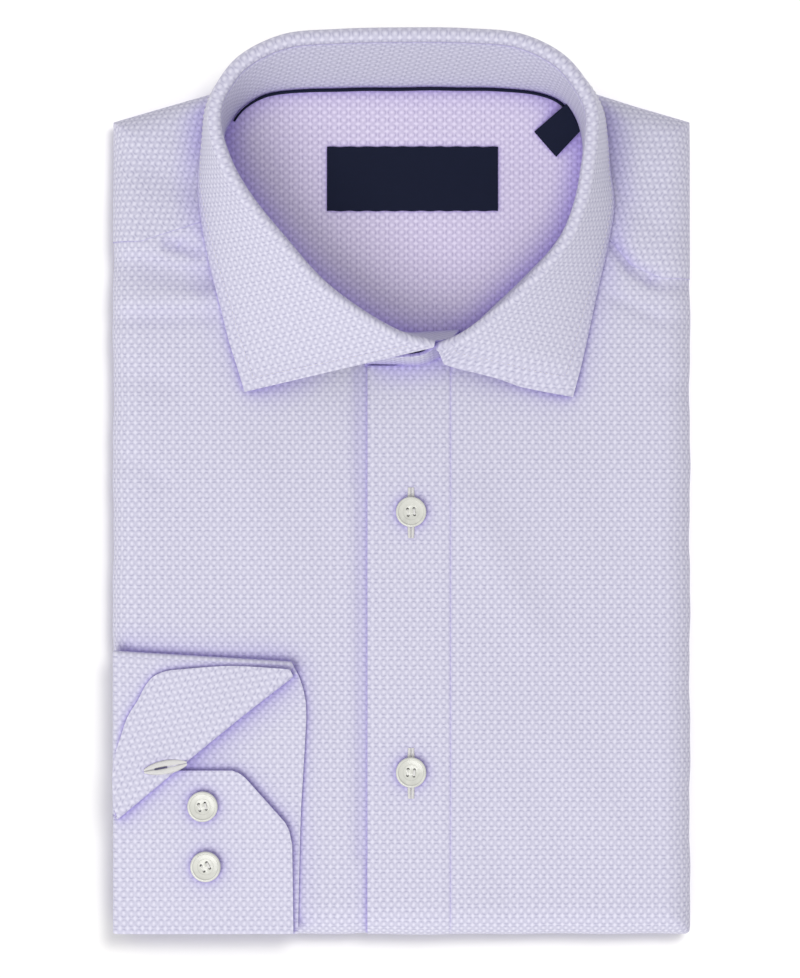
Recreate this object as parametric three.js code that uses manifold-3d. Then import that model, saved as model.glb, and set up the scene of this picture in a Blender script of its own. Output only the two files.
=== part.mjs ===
import * as THREE from "three";
import { mergeVertices } from "three/addons/utils/BufferGeometryUtils.js";
import Module from "manifold-3d";

const wasm = await Module();
wasm.setup();

// Long sleeve dress shirt folded for the shelf, lying on its back. Millimetres, +Z up, +Y towards the neck.
// The origin is the middle of the box's underside, and +X is the side that carries the buttonholes.

// Folded body
const halfWidth = 117.4;
const bottomEdge = -182.5;
const sideCorner = 148.4;
const bodyHeight = 24;
const shoulderDrop = 2.5;
const clothWall = 1.5;
const seamGap = 0.3;
const edgeRoll = 11;
const flatSide = halfWidth - edgeRoll;
const lowerRoll = { radius: 8.5, height: 10.5, endAngle: 55 };

// Placket, 34 mm wide with the buttons on its middle line
const placketLeft = -14;
const placketRight = 20.1;
const placketRise = 2.1;
const placketBlend = 45;
const buttonStandEdge = 5;
const frontMiddle = 3.9;

// Collar
const bandWall = 1.6;
const leafWall = 1.4;
const rollRadius = 2.2;
const leafFoot = 2.5;
const leafBelly = { out: 0.6, up: 1.6 };
const liningHeight = 15.2;
const liningWall = 1.2;

// Cuff
const cuffWall = 1.1;
const cuffSeam = -115;
const cuffTop = -67.6;
const cuffWrist = -42.1;
const cuffEndLength = 66.7;
const cuffLift = 0.3;
const buttonEndRoll = 0.8;
const flapRoll = 1.6;
const turnRoll = 1.1;

// Buttons
const buttonRadius = 6.2;
const buttonHeight = 2.4;
const buttonHole = { radius: 0.85, offset: 1.3 };

const colours = {
  cloth: 0xdcd9ea,
  collar: 0xd2d1e4,
  inside: 0xcfc8e0,
  navy: 0x181d30,
  pearl: 0xeeede4,
};

function finish(colour, roughness) {
  return new THREE.MeshStandardMaterial({ color: colour, roughness, metalness: 0 });
}

function smooth(from, to, value) {
  const t = Math.min(1, Math.max(0, (value - from) / (to - from)));
  return t * t * (3 - 2 * t);
}

function lerp(a, b, t) {
  return a + (b - a) * t;
}

// Soft folds of the front: from and to are the ends of the fold's line, width is half its breadth
const softFolds = [
  { fromX: -112, fromY: 133, toX: -84, toY: 121, width: 8, height: -1.0 },
  { fromX: -116, fromY: 90, toX: -78, toY: 81, width: 6, height: -0.7 },
  { fromX: -116, fromY: 74, toX: -76, toY: 73, width: 6, height: 0.8 },
  { fromX: -115, fromY: 47, toX: -96, toY: 42, width: 6, height: -0.8 },
  { fromX: 84, fromY: 79, toX: 114, toY: 66, width: 6, height: -0.9 },
  { fromX: 109, fromY: 42, toX: 117, toY: 35, width: 5, height: -0.8 },
  { fromX: 28, fromY: -7, toX: 54, toY: -59, width: 9, height: 0.7 },
];

function foldHeight(x, y) {
  let sum = 0;
  for (const fold of softFolds) {
    const alongX = fold.toX - fold.fromX;
    const alongY = fold.toY - fold.fromY;
    const span = Math.hypot(alongX, alongY);
    const along = ((x - fold.fromX) * alongX + (y - fold.fromY) * alongY) / span;
    const beyond = Math.max(0, -along, along - span);
    const across = ((x - fold.fromX) * alongY - (y - fold.fromY) * alongX) / span;
    const reach = Math.hypot(across, beyond) / fold.width;
    sum += fold.height * Math.exp(-reach * reach);
  }
  return sum;
}

// Height of the front's upper face over the surface that the shirt lies on
function frontHeight(x, y) {
  return bodyHeight - shoulderDrop * smooth(95, 155, y) + foldHeight(x, y);
}

// A patch is an open surface: points, and triangles that face out
function gridPatch(rows) {
  const points = rows.flat();
  const across = rows[0].length;
  const triangles = [];
  for (let i = 0; i + 1 < rows.length; i += 1) {
    for (let j = 0; j + 1 < across; j += 1) {
      const corner = i * across + j;
      const next = corner + across;
      triangles.push([corner, next, next + 1], [corner, next + 1, corner + 1]);
    }
  }
  return { points, triangles };
}

function vertexNormals(patch) {
  const normals = patch.points.map(() => new THREE.Vector3());
  for (const [a, b, c] of patch.triangles) {
    const ab = patch.points[b].clone().sub(patch.points[a]);
    const ac = patch.points[c].clone().sub(patch.points[a]);
    const normal = ab.cross(ac);
    for (const corner of [a, b, c]) {
      normals[corner].add(normal);
    }
  }
  return normals.map((normal) => normal.normalize());
}

// Gives a patch its thickness: above and below are measured along the patch's own normals
function wall(patch, above, below) {
  const normals = vertexNormals(patch);
  const count = patch.points.length;
  const upper = patch.points.map((point, k) => point.clone().addScaledVector(normals[k], above));
  const lower = patch.points.map((point, k) => point.clone().addScaledVector(normals[k], -below));
  const faces = [];
  const open = new Map();
  for (const [a, b, c] of patch.triangles) {
    faces.push(a, b, c, a + count, c + count, b + count);
    for (const [from, to] of [[a, b], [b, c], [c, a]]) {
      const twin = `${to}_${from}`;
      if (open.has(twin)) {
        open.delete(twin);
      } else {
        open.set(`${from}_${to}`, [from, to]);
      }
    }
  }
  for (const [from, to] of open.values()) {
    faces.push(to, from, from + count, to, from + count, to + count);
  }
  const geometry = new THREE.BufferGeometry();
  const positions = [...upper, ...lower].flatMap((point) => [point.x, point.y, point.z]);
  geometry.setAttribute("position", new THREE.Float32BufferAttribute(positions, 3));
  geometry.setIndex(faces);
  geometry.computeVertexNormals();
  return geometry;
}

// Outward directions of a flat path, mitred so that a moved path keeps its corners; out is left of the path
function mitres(path) {
  return path.map((point, k) => {
    const before = path[Math.max(0, k - 1)];
    const after = path[Math.min(path.length - 1, k + 1)];
    const first = new THREE.Vector2(before.y - point.y, point.x - before.x);
    const second = new THREE.Vector2(point.y - after.y, after.x - point.x);
    if (k === 0) {
      first.copy(second);
    }
    if (k === path.length - 1) {
      second.copy(first);
    }
    first.normalize();
    second.normalize();
    const middle = first.clone().add(second).normalize();
    return middle.multiplyScalar(1 / Math.max(0.6, middle.dot(first)));
  });
}

// How far out and how far down a turned edge goes, from its flat top to the end of its lower roll
function edgeProfile(radius, topHeight) {
  const steps = [];
  for (const angle of [30, 60, 90]) {
    const turn = THREE.MathUtils.degToRad(angle);
    steps.push({ out: radius * Math.sin(turn), height: topHeight - radius * (1 - Math.cos(turn)) });
  }
  for (const angle of [0, lowerRoll.endAngle / 2, lowerRoll.endAngle]) {
    const turn = THREE.MathUtils.degToRad(angle);
    steps.push({
      out: radius - lowerRoll.radius * (1 - Math.cos(turn)),
      height: lowerRoll.height - lowerRoll.radius * Math.sin(turn),
    });
  }
  return steps;
}

// Adds the turned-down edge along a path of the patch's own points, with a roll radius for each point
function turnDown(patch, pathIndices, radii) {
  const { points, triangles } = patch;
  const path = pathIndices.map((index) => points[index]);
  const outward = mitres(path);
  let previous = null;
  path.forEach((point, k) => {
    const column = [pathIndices[k]];
    for (const step of edgeProfile(radii[k], point.z)) {
      const x = point.x + outward[k].x * step.out;
      const y = point.y + outward[k].y * step.out;
      column.push(points.push(new THREE.Vector3(x, y, step.height)) - 1);
    }
    if (previous) {
      for (let level = 0; level + 1 < column.length; level += 1) {
        triangles.push([previous[level], column[level], column[level + 1]]);
        triangles.push([previous[level], column[level + 1], previous[level + 1]]);
      }
    }
    previous = column;
  });
  return patch;
}

// The collar, station by station from the left front, round the back of the neck, to the right front:
// the foot of the band on the neck seam, the crest of the roll, and the outer edge of the leaf.
const collarColumns = ["seamX", "seamY", "foot", "crestX", "crestY", "crestZ", "edgeX", "edgeY", "edgeZ"];
const collarStations = [
  [11.0, 62.4, 17.6, 10.5, 55.2, 47.0, -63.6, 38.1, 25.9],
  [0.0, 62.3, 17.6, -0.6, 59.2, 48.0, -66.5, 47.8, 25.6],
  [-16.6, 69.6, 17.6, -16.6, 67.9, 49.5, -69.8, 58.4, 25.4],
  [-33.8, 82.4, 17.6, -33.4, 80.7, 51.0, -73.0, 71.4, 25.3],
  [-49.3, 99.6, 17.6, -48.6, 97.8, 52.5, -77.1, 87.7, 25.2],
  [-61.7, 115.3, 17.7, -61.3, 113.3, 54.0, -80.8, 106.1, 25.0],
  [-70.4, 130.2, 18.2, -70.0, 127.9, 55.5, -82.4, 123.6, 24.6],
  [-73.2, 141.2, 18.8, -74.4, 141.8, 56.5, -80.8, 140.7, 23.8],
  [-69.8, 149.6, 19.5, -72.8, 152.1, 57.0, -77.6, 153.6, 23.3],
  [-64.5, 155.6, 20.0, -68.0, 159.7, 57.2, -71.8, 162.8, 20.5],
  [-55.0, 160.4, 20.2, -60.4, 167.6, 57.4, -62.6, 170.6, 15.5],
  [-38.0, 162.0, 20.3, -44.4, 176.0, 57.5, -45.6, 179.2, 14.2],
  [-19.5, 162.4, 20.3, -24.5, 178.2, 57.5, -25.0, 181.2, 13.7],
  [0.2, 162.6, 20.3, 0.2, 178.8, 57.5, 0.2, 181.6, 13.5],
  [20.0, 162.7, 20.3, 25.3, 178.5, 57.5, 25.8, 181.4, 13.7],
  [38.5, 162.4, 20.3, 45.2, 175.2, 57.5, 46.6, 178.4, 14.2],
  [54.8, 161.2, 20.2, 60.0, 167.2, 57.4, 62.6, 170.2, 15.5],
  [65.0, 157.6, 20.0, 68.0, 158.5, 57.2, 72.2, 162.0, 20.5],
  [71.0, 151.0, 19.5, 73.6, 149.7, 57.0, 79.2, 152.4, 23.4],
  [74.4, 141.0, 18.8, 75.2, 139.8, 56.5, 82.5, 141.6, 23.8],
  [74.4, 130.0, 18.2, 74.8, 127.9, 55.5, 84.5, 128.5, 24.6],
  [71.6, 115.9, 17.7, 72.1, 113.3, 54.0, 86.1, 114.2, 25.0],
  [64.4, 100.0, 17.6, 65.8, 97.8, 52.5, 83.6, 97.9, 25.2],
  [50.0, 84.2, 17.6, 53.0, 82.3, 51.0, 79.9, 81.6, 25.3],
  [37.0, 71.8, 17.6, 39.5, 69.5, 49.5, 76.7, 66.5, 25.4],
  [25.4, 60.4, 18.4, 25.9, 58.0, 48.0, 73.4, 51.1, 25.6],
  [17.5, 53.6, 19.4, 17.0, 53.2, 46.0, 69.7, 36.0, 25.9],
].map((row) => Object.fromEntries(row.map((value, k) => [collarColumns[k], value])));

// The band's two free ends, past the leaf: the left one lies inside, the right one lies on the placket
const bandColumns = ["seamX", "seamY", "foot", "topX", "topY", "topZ"];
const leftBandEnd = [[18.5, 63.4, 17.6, 18.2, 61.0, 39.5]];
const rightBandEnd = [
  [8.0, 49.6, 20.4, 8.0, 52.5, 39.5],
  [-3.0, 48.8, 20.4, -3.0, 51.4, 36.5],
  [-13.6, 48.8, 20.4, -13.0, 50.4, 30.5],
];
const stationStep = 0.6;

function curveOf(rows, x, y, z) {
  return new THREE.CatmullRomCurve3(rows.map((row) => new THREE.Vector3(row[x], row[y], row[z])));
}

const crestCurve = curveOf(collarStations, "crestX", "crestY", "crestZ");
const edgeCurve = curveOf(collarStations, "edgeX", "edgeY", "edgeZ");

// Level direction away from the neck, square to the crest
function outwardAt(t) {
  const tangent = crestCurve.getTangent(t);
  return new THREE.Vector3(-tangent.y, tangent.x, 0).normalize();
}

function bandTopAt(t) {
  const crest = crestCurve.getPoint(t);
  const drop = rollRadius + leafFoot + 2 * seamGap;
  return crest.addScaledVector(outwardAt(t), -rollRadius).add(new THREE.Vector3(0, 0, -drop));
}

function bandRowsOf(table) {
  return table.map((row) => Object.fromEntries(row.map((value, k) => [bandColumns[k], value])));
}

const bandRows = [
  ...bandRowsOf(leftBandEnd),
  ...collarStations.map((row, k) => {
    const top = bandTopAt(k / (collarStations.length - 1));
    return { seamX: row.seamX, seamY: row.seamY, foot: row.foot, topX: top.x, topY: top.y, topZ: top.z };
  }),
  ...bandRowsOf(rightBandEnd),
];
const bandFootCurve = curveOf(bandRows, "seamX", "seamY", "foot");
const bandTopCurve = curveOf(bandRows, "topX", "topY", "topZ");

function collarBand() {
  const count = Math.round((bandRows.length - 1) / stationStep);
  const rows = [];
  for (let k = 0; k <= count; k += 1) {
    const foot = bandFootCurve.getPoint(k / count);
    const top = bandTopCurve.getPoint(k / count);
    rows.push([0, 1 / 3, 2 / 3, 1].map((t) => foot.clone().lerp(top, t)));
  }
  return wall(gridPatch(rows), bandWall / 2, bandWall / 2);
}

// One line across the leaf: up from the band, over the roll, and down to the edge
function leafLine(t) {
  const crest = crestCurve.getPoint(t);
  const edge = edgeCurve.getPoint(t);
  const up = new THREE.Vector3(0, 0, 1);
  const inward = outwardAt(t).negate();
  const centre = crest.clone().addScaledVector(up, -rollRadius);
  const fall = new THREE.Vector3(edge.x - crest.x, edge.y - crest.y, 0);
  const level = fall.length();
  fall.normalize();
  const slope = Math.min(Math.PI / 2 - 0.05, Math.atan2(centre.z - edge.z, Math.max(1, level - rollRadius)));
  const line = [centre.clone().addScaledVector(inward, rollRadius).addScaledVector(up, -leafFoot)];
  for (const part of [0, 1 / 3, 2 / 3]) {
    const angle = (part * Math.PI) / 2;
    line.push(centre.clone().addScaledVector(inward, rollRadius * Math.cos(angle))
      .addScaledVector(up, rollRadius * Math.sin(angle)));
  }
  const last = Math.PI / 2 - slope;
  for (const part of [0, 1 / 2, 1]) {
    const angle = lerp(Math.PI / 2, last, part);
    line.push(centre.clone().addScaledVector(fall, rollRadius * Math.cos(angle))
      .addScaledVector(up, rollRadius * Math.sin(angle)));
  }
  const start = line[line.length - 1];
  const reach = start.distanceTo(edge);
  const leave = fall.clone().multiplyScalar(Math.cos(slope)).addScaledVector(up, -Math.sin(slope));
  const belly = start.clone().addScaledVector(leave, reach / 3);
  const arrive = edge.clone().lerp(start, 1 / 3).addScaledVector(fall, leafBelly.out)
    .addScaledVector(up, leafBelly.up * Math.cos(slope));
  const side = new THREE.CubicBezierCurve3(start, belly, arrive, edge);
  for (const part of [0.2, 0.4, 0.6, 0.8, 1]) {
    line.push(side.getPoint(part));
  }
  return line;
}

function collarLeaf() {
  const count = Math.round((collarStations.length - 1) / stationStep);
  const rows = [];
  for (let k = 0; k <= count; k += 1) {
    rows.push(leafLine(k / count));
  }
  return wall(gridPatch(rows), leafWall / 2, leafWall / 2);
}

// The neckline of the panels runs just outside the band's foot
const neckClearance = { front: bandWall / 2 + seamGap + 0.2, back: bandWall / 2 + seamGap + 1.5 };
const neckSamples = 240;

function necklinePoint(t) {
  const point = bandFootCurve.getPoint(t);
  const tangent = bandFootCurve.getTangent(t);
  const away = new THREE.Vector3(-tangent.y, tangent.x, 0).normalize();
  const clearance = lerp(neckClearance.front, neckClearance.back, smooth(146, 158, point.y));
  return point.addScaledVector(away, clearance);
}

// Height of the neckline in the plan at x, on the left or the right half
function necklineAt(x, side) {
  let found = null;
  for (let k = 0; k < neckSamples; k += 1) {
    const t = side < 0 ? k / neckSamples / 2 : 1 - k / neckSamples / 2;
    const point = necklinePoint(t);
    const next = necklinePoint(side < 0 ? t + 0.5 / neckSamples : t - 0.5 / neckSamples);
    if (found === null && (point.x - x) * side <= 0 && (next.x - x) * side > 0) {
      found = lerp(point.y, next.y, (x - point.x) / (next.x - point.x));
    }
  }
  return found;
}

// Seams between yoke and fronts, from the folded side to the neck
const leftYokeSeam = [[-117.4, 95.9], [-82.0, 107.3], [-40.0, 120.8]];
const rightYokeSeam = [[117.4, 79.8], [93.8, 89.6], [85.7, 99.1], [58.0, 134.0]];

function seamAt(seam, x) {
  for (let k = 0; k + 1 < seam.length; k += 1) {
    const [fromX, fromY] = seam[k];
    const [toX, toY] = seam[k + 1];
    if ((x - fromX) * (x - toX) <= 0) {
      return lerp(fromY, toY, (x - fromX) / (toX - fromX));
    }
  }
  const first = seam[0];
  const last = seam[seam.length - 1];
  return Math.abs(x - first[0]) < Math.abs(x - last[0]) ? first[1] : last[1];
}

// Place along the neckline where a yoke seam meets it
function neckSeamParameter(seam, from, to) {
  for (let k = 0; k < neckSamples; k += 1) {
    const t = lerp(from, to, k / neckSamples);
    const point = necklinePoint(t);
    if (point.y >= seamAt(seam, point.x)) {
      return t;
    }
  }
  return to;
}

// Each front is rows of points from its folded foot up to the neckline or the yoke seam.
// The button side steps in beside the sleeve, and its foot steps up under the placket.
const frontRows = 24;
const frontMiddleNeck = 47.2;
const sleeveNotch = 3.2;
const sleeveStep = { startY: -64, endY: -70, fadeX: -88 };
const placketNotch = 2.4;

function frontRow(x, topY, lift) {
  const foot = bottomEdge + edgeRoll + lift.notch * placketNotch * smooth(placketLeft - 7, placketLeft - 1, x);
  const row = [];
  for (let j = 0; j <= frontRows; j += 1) {
    const y = lerp(foot, topY, j / frontRows);
    const beside = smooth(sleeveStep.startY, sleeveStep.endY, y) * (1 - smooth(-flatSide, sleeveStep.fadeX, x));
    const shift = lift.sleeve * sleeveNotch * beside;
    row.push(new THREE.Vector3(x + shift, y, frontHeight(x, y) + lift.rise(x)));
  }
  return row;
}

function frontButtonSide() {
  const columns = [-flatSide, -98, -90, -82, -74, -67, -60, -50, -40, -30, -22, -15.2, -13.4, buttonStandEdge];
  const rows = columns.map((x) => {
    const neck = x < -64 ? Infinity : necklineAt(x, -1) ?? Infinity;
    const top = Math.min(seamAt(leftYokeSeam, x) - seamGap / 2, neck, x > placketLeft ? frontMiddleNeck : Infinity);
    return frontRow(x, top, { notch: 1, sleeve: 1, rise: () => 0 });
  });
  const patch = gridPatch(rows);
  const across = frontRows + 1;
  const foot = columns.map((_, i) => (columns.length - 1 - i) * across);
  const side = Array.from({ length: frontRows }, (_, j) => j + 1);
  const path = [...foot, ...side];
  return wall(turnDown(patch, path, path.map(() => edgeRoll)), 0, clothWall);
}

function placketRiseAt(x) {
  return placketRise * (1 - smooth(placketRight, placketRight + placketBlend, x));
}

function frontPlacketSide() {
  const columns = [placketRight + seamGap, 26, 33, 42, 50, 57, 62.5, 67, 71, 76, 85.7, 93.8, flatSide];
  const rows = columns.map((x) => {
    const neck = x > 77 ? Infinity : necklineAt(x, 1) ?? Infinity;
    const top = Math.min(seamAt(rightYokeSeam, x) - seamGap / 2, neck);
    return frontRow(x, top, { notch: 0, sleeve: 0, rise: placketRiseAt });
  });
  const patch = gridPatch(rows);
  const across = frontRows + 1;
  const last = columns.length - 1;
  const side = Array.from({ length: frontRows }, (_, j) => last * across + frontRows - j);
  const foot = columns.map((_, i) => (last - i) * across);
  const path = [...side, ...foot];
  return wall(turnDown(patch, path, path.map(() => edgeRoll)), 0, clothWall);
}

function placket() {
  const columns = [placketLeft, placketLeft + 1.2, 3, 11, placketRight];
  const rows = columns.map((x, i) => {
    const top = Math.min(frontMiddleNeck + 0.2, necklineAt(x, 1) ?? Infinity);
    const edgeDrop = i === 0 ? 0.35 : 0;
    return frontRow(x, top, { notch: 0, sleeve: 0, rise: () => placketRise - edgeDrop });
  });
  const patch = gridPatch(rows);
  const across = frontRows + 1;
  const path = columns.map((_, i) => (columns.length - 1 - i) * across);
  return wall(turnDown(patch, path, path.map(() => edgeRoll)), 0, clothWall);
}

// Outline of the yoke's outer fold, from the left seam over both shoulders to the right seam, with its roll and
// the place along its neck edge that lies across from it
const yokeOutline = [
  { x: -halfWidth, y: seamAt(leftYokeSeam, -flatSide) + seamGap / 2, roll: 11, neck: 0 },
  { x: -halfWidth, y: 122, roll: 11, neck: 0.075 },
  { x: -halfWidth, y: sideCorner, roll: 11, neck: 0.165 },
  { x: -96.6, y: 154.4, roll: 9, neck: 0.21 },
  { x: -79, y: 159.4, roll: 5.5, neck: 0.25 },
  { x: -62, y: 166.0, roll: 3.2, neck: 0.295 },
  { x: -40, y: 169.8, roll: 3.0, neck: 0.38 },
  { x: 0, y: 170.6, roll: 3.0, neck: 0.502 },
  { x: 40, y: 170.4, roll: 3.0, neck: 0.622 },
  { x: 62, y: 167.2, roll: 3.1, neck: 0.71 },
  { x: 79, y: 159.9, roll: 5.4, neck: 0.755 },
  { x: 96.6, y: 154.4, roll: 9, neck: 0.786 },
  { x: halfWidth, y: sideCorner, roll: 11, neck: 0.828 },
  { x: halfWidth, y: 116, roll: 11, neck: 0.915 },
  { x: halfWidth, y: seamAt(rightYokeSeam, flatSide) + seamGap / 2, roll: 11, neck: 1 },
];
const yokeParts = 2;

function yoke() {
  const outward = mitres(yokeOutline);
  const flat = yokeOutline.map((point, k) => ({
    x: point.x - outward[k].x * point.roll,
    y: point.y - outward[k].y * point.roll,
  }));
  const rows = [];
  const radii = [];
  const necks = [];
  const lastCorner = flat.length - 1;
  for (let step = 0; step <= lastCorner * yokeParts; step += 1) {
    const k = Math.min(Math.floor(step / yokeParts), lastCorner - 1);
    const t = step / yokeParts - k;
    rows.push(new THREE.Vector2(lerp(flat[k].x, flat[k + 1].x, t), lerp(flat[k].y, flat[k + 1].y, t)));
    radii.push(lerp(yokeOutline[k].roll, yokeOutline[k + 1].roll, t));
    necks.push(lerp(yokeOutline[k].neck, yokeOutline[k + 1].neck, t));
  }
  const count = rows.length - 1;
  const neckFrom = neckSeamParameter(leftYokeSeam, 0, 0.4);
  const neckTo = neckSeamParameter(rightYokeSeam, 1, 0.6);
  const grid = rows.map((outer, k) => {
    const inner = necklinePoint(lerp(neckFrom, neckTo, necks[k]));
    return [0, 1 / 3, 2 / 3, 1].map((t, j) => {
      const seam = k === 0 ? leftYokeSeam : rightYokeSeam;
      const onRightSeam = k === count && j > 0 && j < 3;
      const x = onRightSeam ? rightYokeSeam[3 - j][0] : lerp(inner.x, outer.x, t);
      const level = k === 0 || k === count ? seamAt(seam, x) + seamGap / 2 : lerp(inner.y, outer.y, t);
      return new THREE.Vector3(x, level, frontHeight(x, level));
    });
  });
  const patch = gridPatch(grid);
  const path = grid.map((_, k) => k * 4 + 3);
  return wall(turnDown(patch, path, radii), 0, clothWall);
}

// Hidden layers: one solid whose side shows the turned layers between grooves. inset is from the outline,
// height is over the surface that the shirt lies on, and below is under the front's upper face.
const layerRings = [
  { inset: 7.0, height: 0 },
  { inset: 2.6, height: 0 },
  { inset: 1.2, height: 0.5 },
  { inset: 1.2, height: 1.2 },
  { inset: 3.0, height: 1.6 },
  { inset: 1.6, height: 2.0 },
  { inset: 2.0, height: 2.9 },
  { inset: 6.2, height: 3.1 },
  { inset: 4.6, height: 6.0 },
  { inset: 2.3, height: 9.6 },
  { inset: 2.3, below: 11.2 },
  { inset: 4.8, below: 5.4 },
  { inset: 11.2, below: 2.3 },
];
const foldedOutline = [
  { x: -halfWidth + sleeveNotch, y: bottomEdge, parts: 5 },
  { x: -25, y: bottomEdge, parts: 1 },
  { x: -20, y: bottomEdge + placketNotch, parts: 2 },
  { x: 8, y: bottomEdge + placketNotch, parts: 1 },
  { x: 14, y: bottomEdge, parts: 5 },
  { x: halfWidth, y: bottomEdge, parts: 14 },
  { x: halfWidth, y: sideCorner - 1, parts: 3 },
  { x: 76, y: 160.2, parts: 2 },
  { x: 40, y: 168.4, parts: 4 },
  { x: -40, y: 168.2, parts: 2 },
  { x: -76, y: 160, parts: 3 },
  { x: -halfWidth, y: sideCorner - 1, parts: 9 },
  { x: -halfWidth, y: -62, parts: 1 },
  { x: -halfWidth + sleeveNotch, y: -70, parts: 5 },
];

// The neck hollow: how far a place lies from its middle, as a share of the way to the band's foot
const neckHollow = { x: 0.5, y: 112, floor: 13.2 };
const neckRing = { leftFront: 0.05, leftBack: 0.27, rightBack: 0.67, rightFront: 0.88 };
const neckDirections = Array.from({ length: 97 }, (_, k) => {
  const point = bandFootCurve.getPoint(lerp(neckRing.leftFront, neckRing.rightFront, k / 96));
  const away = new THREE.Vector2(point.x - neckHollow.x, point.y - neckHollow.y);
  return { angle: away.angle(), radius: away.length() };
});

function neckReach(x, y) {
  const away = new THREE.Vector2(x - neckHollow.x, y - neckHollow.y);
  const angle = away.angle();
  let nearest = neckDirections[0];
  let least = Infinity;
  for (const direction of neckDirections) {
    const turn = Math.abs(angle - direction.angle);
    const apart = Math.min(turn, 2 * Math.PI - turn);
    if (apart < least) {
      least = apart;
      nearest = direction;
    }
  }
  return away.length() / nearest.radius;
}

function foldedTop(x, y) {
  const full = frontHeight(x, y) - clothWall - 1.1;
  return lerp(neckHollow.floor, full, smooth(1.22, 1.45, neckReach(x, y)));
}

function foldedLayers() {
  const outline = [];
  foldedOutline.forEach((corner, k) => {
    const next = foldedOutline[(k + 1) % foldedOutline.length];
    for (let part = 0; part < corner.parts; part += 1) {
      const t = part / corner.parts;
      outline.push(new THREE.Vector2(lerp(corner.x, next.x, t), lerp(corner.y, next.y, t)));
    }
  });
  const count = outline.length;
  const inward = outline.map((point, k) => {
    const before = outline[(k + count - 1) % count];
    const after = outline[(k + 1) % count];
    const first = new THREE.Vector2(before.y - point.y, point.x - before.x).normalize();
    const second = new THREE.Vector2(point.y - after.y, after.x - point.x).normalize();
    const middle = first.clone().add(second).normalize();
    return middle.multiplyScalar(1 / Math.max(0.6, middle.dot(first)));
  });
  const centre = new THREE.Vector2(0, -20);
  const points = [new THREE.Vector3(centre.x, centre.y, 0)];
  const ringStarts = [];
  const addRing = (pointAt) => {
    ringStarts.push(points.length);
    outline.forEach((point, k) => points.push(pointAt(point, k)));
  };
  for (const ring of layerRings) {
    addRing((point, k) => {
      const x = point.x + inward[k].x * ring.inset;
      const y = point.y + inward[k].y * ring.inset;
      const height = ring.height ?? Math.min(frontHeight(x, y) - ring.below, foldedTop(x, y));
      return new THREE.Vector3(x, y, height);
    });
  }
  const last = layerRings[layerRings.length - 1].inset;
  for (const share of [0.93, 0.82, 0.66, 0.46, 0.22]) {
    addRing((point, k) => {
      const x = lerp(centre.x, point.x + inward[k].x * last, share);
      const y = lerp(centre.y, point.y + inward[k].y * last, share);
      return new THREE.Vector3(x, y, foldedTop(x, y));
    });
  }
  points.push(new THREE.Vector3(centre.x, centre.y, foldedTop(centre.x, centre.y)));
  const faces = [];
  for (let k = 0; k < count; k += 1) {
    const next = (k + 1) % count;
    faces.push(0, ringStarts[0] + next, ringStarts[0] + k);
    for (let ring = 0; ring + 1 < ringStarts.length; ring += 1) {
      const low = ringStarts[ring];
      const high = ringStarts[ring + 1];
      faces.push(low + k, low + next, high + next, low + k, high + next, high + k);
    }
    const top = ringStarts[ringStarts.length - 1];
    faces.push(top + k, top + next, points.length - 1);
  }
  const geometry = new THREE.BufferGeometry();
  geometry.setAttribute("position", new THREE.Float32BufferAttribute(points.flatMap((p) => [p.x, p.y, p.z]), 3));
  geometry.setIndex(faces);
  geometry.computeVertexNormals();
  return geometry;
}

// Back yoke seen through the neck, a shallow dish that rises to the neck seam
function liningTop(x, y) {
  return liningHeight + 1.9 * smooth(0.7, 1, neckReach(x, y)) + 2.7 * smooth(128, 160, y);
}

function ringPoint(t) {
  const point = bandFootCurve.getPoint(t);
  const tangent = bandFootCurve.getTangent(t);
  const away = new THREE.Vector3(-tangent.y, tangent.x, 0).normalize();
  return point.addScaledVector(away, -(bandWall / 2 + seamGap));
}

function yokeLining() {
  const cells = 12;
  const side = (from, to) => Array.from({ length: cells + 1 }, (_, k) => ringPoint(lerp(from, to, k / cells)));
  const left = side(neckRing.leftFront, neckRing.leftBack);
  const back = side(neckRing.leftBack, neckRing.rightBack);
  const right = side(neckRing.rightBack, neckRing.rightFront).reverse();
  const front = left.map((_, k) => left[0].clone().lerp(right[0], k / cells));
  const rows = [];
  for (let i = 0; i <= cells; i += 1) {
    const u = i / cells;
    const row = [];
    for (let j = 0; j <= cells; j += 1) {
      const v = j / cells;
      const x = lerp(left[j].x, right[j].x, u) + lerp(front[i].x, back[i].x, v)
        - lerp(lerp(left[0].x, right[0].x, u), lerp(left[cells].x, right[cells].x, u), v);
      const y = lerp(left[j].y, right[j].y, u) + lerp(front[i].y, back[i].y, v)
        - lerp(lerp(left[0].y, right[0].y, u), lerp(left[cells].y, right[cells].y, u), v);
      row.push(new THREE.Vector3(x, y, liningTop(x, y)));
    }
    rows.push(row);
  }
  return wall(gridPatch(rows), 0, liningWall);
}

// Tape along the neck seam, on the band's inner face
function neckTape() {
  const tape = { from: 0.3, to: 0.625, parts: 26, thickness: 1.0, foot: 0.5, height: 1.5 };
  const rows = [];
  for (let k = 0; k <= tape.parts; k += 1) {
    const t = lerp(tape.from, tape.to, k / tape.parts);
    const foot = bandFootCurve.getPoint(t);
    const top = bandTopCurve.getPoint(t);
    const along = bandFootCurve.getTangent(t);
    const rise = top.clone().sub(foot).normalize();
    const inward = along.clone().cross(rise).normalize();
    if (inward.y > 0) {
      inward.negate();
    }
    const base = foot.addScaledVector(inward, bandWall / 2 + seamGap + tape.thickness / 2);
    rows.push([tape.foot, tape.foot + tape.height].map((height) => base.clone().addScaledVector(rise, height)));
  }
  return wall(gridPatch(rows), tape.thickness / 2, tape.thickness / 2);
}

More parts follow.
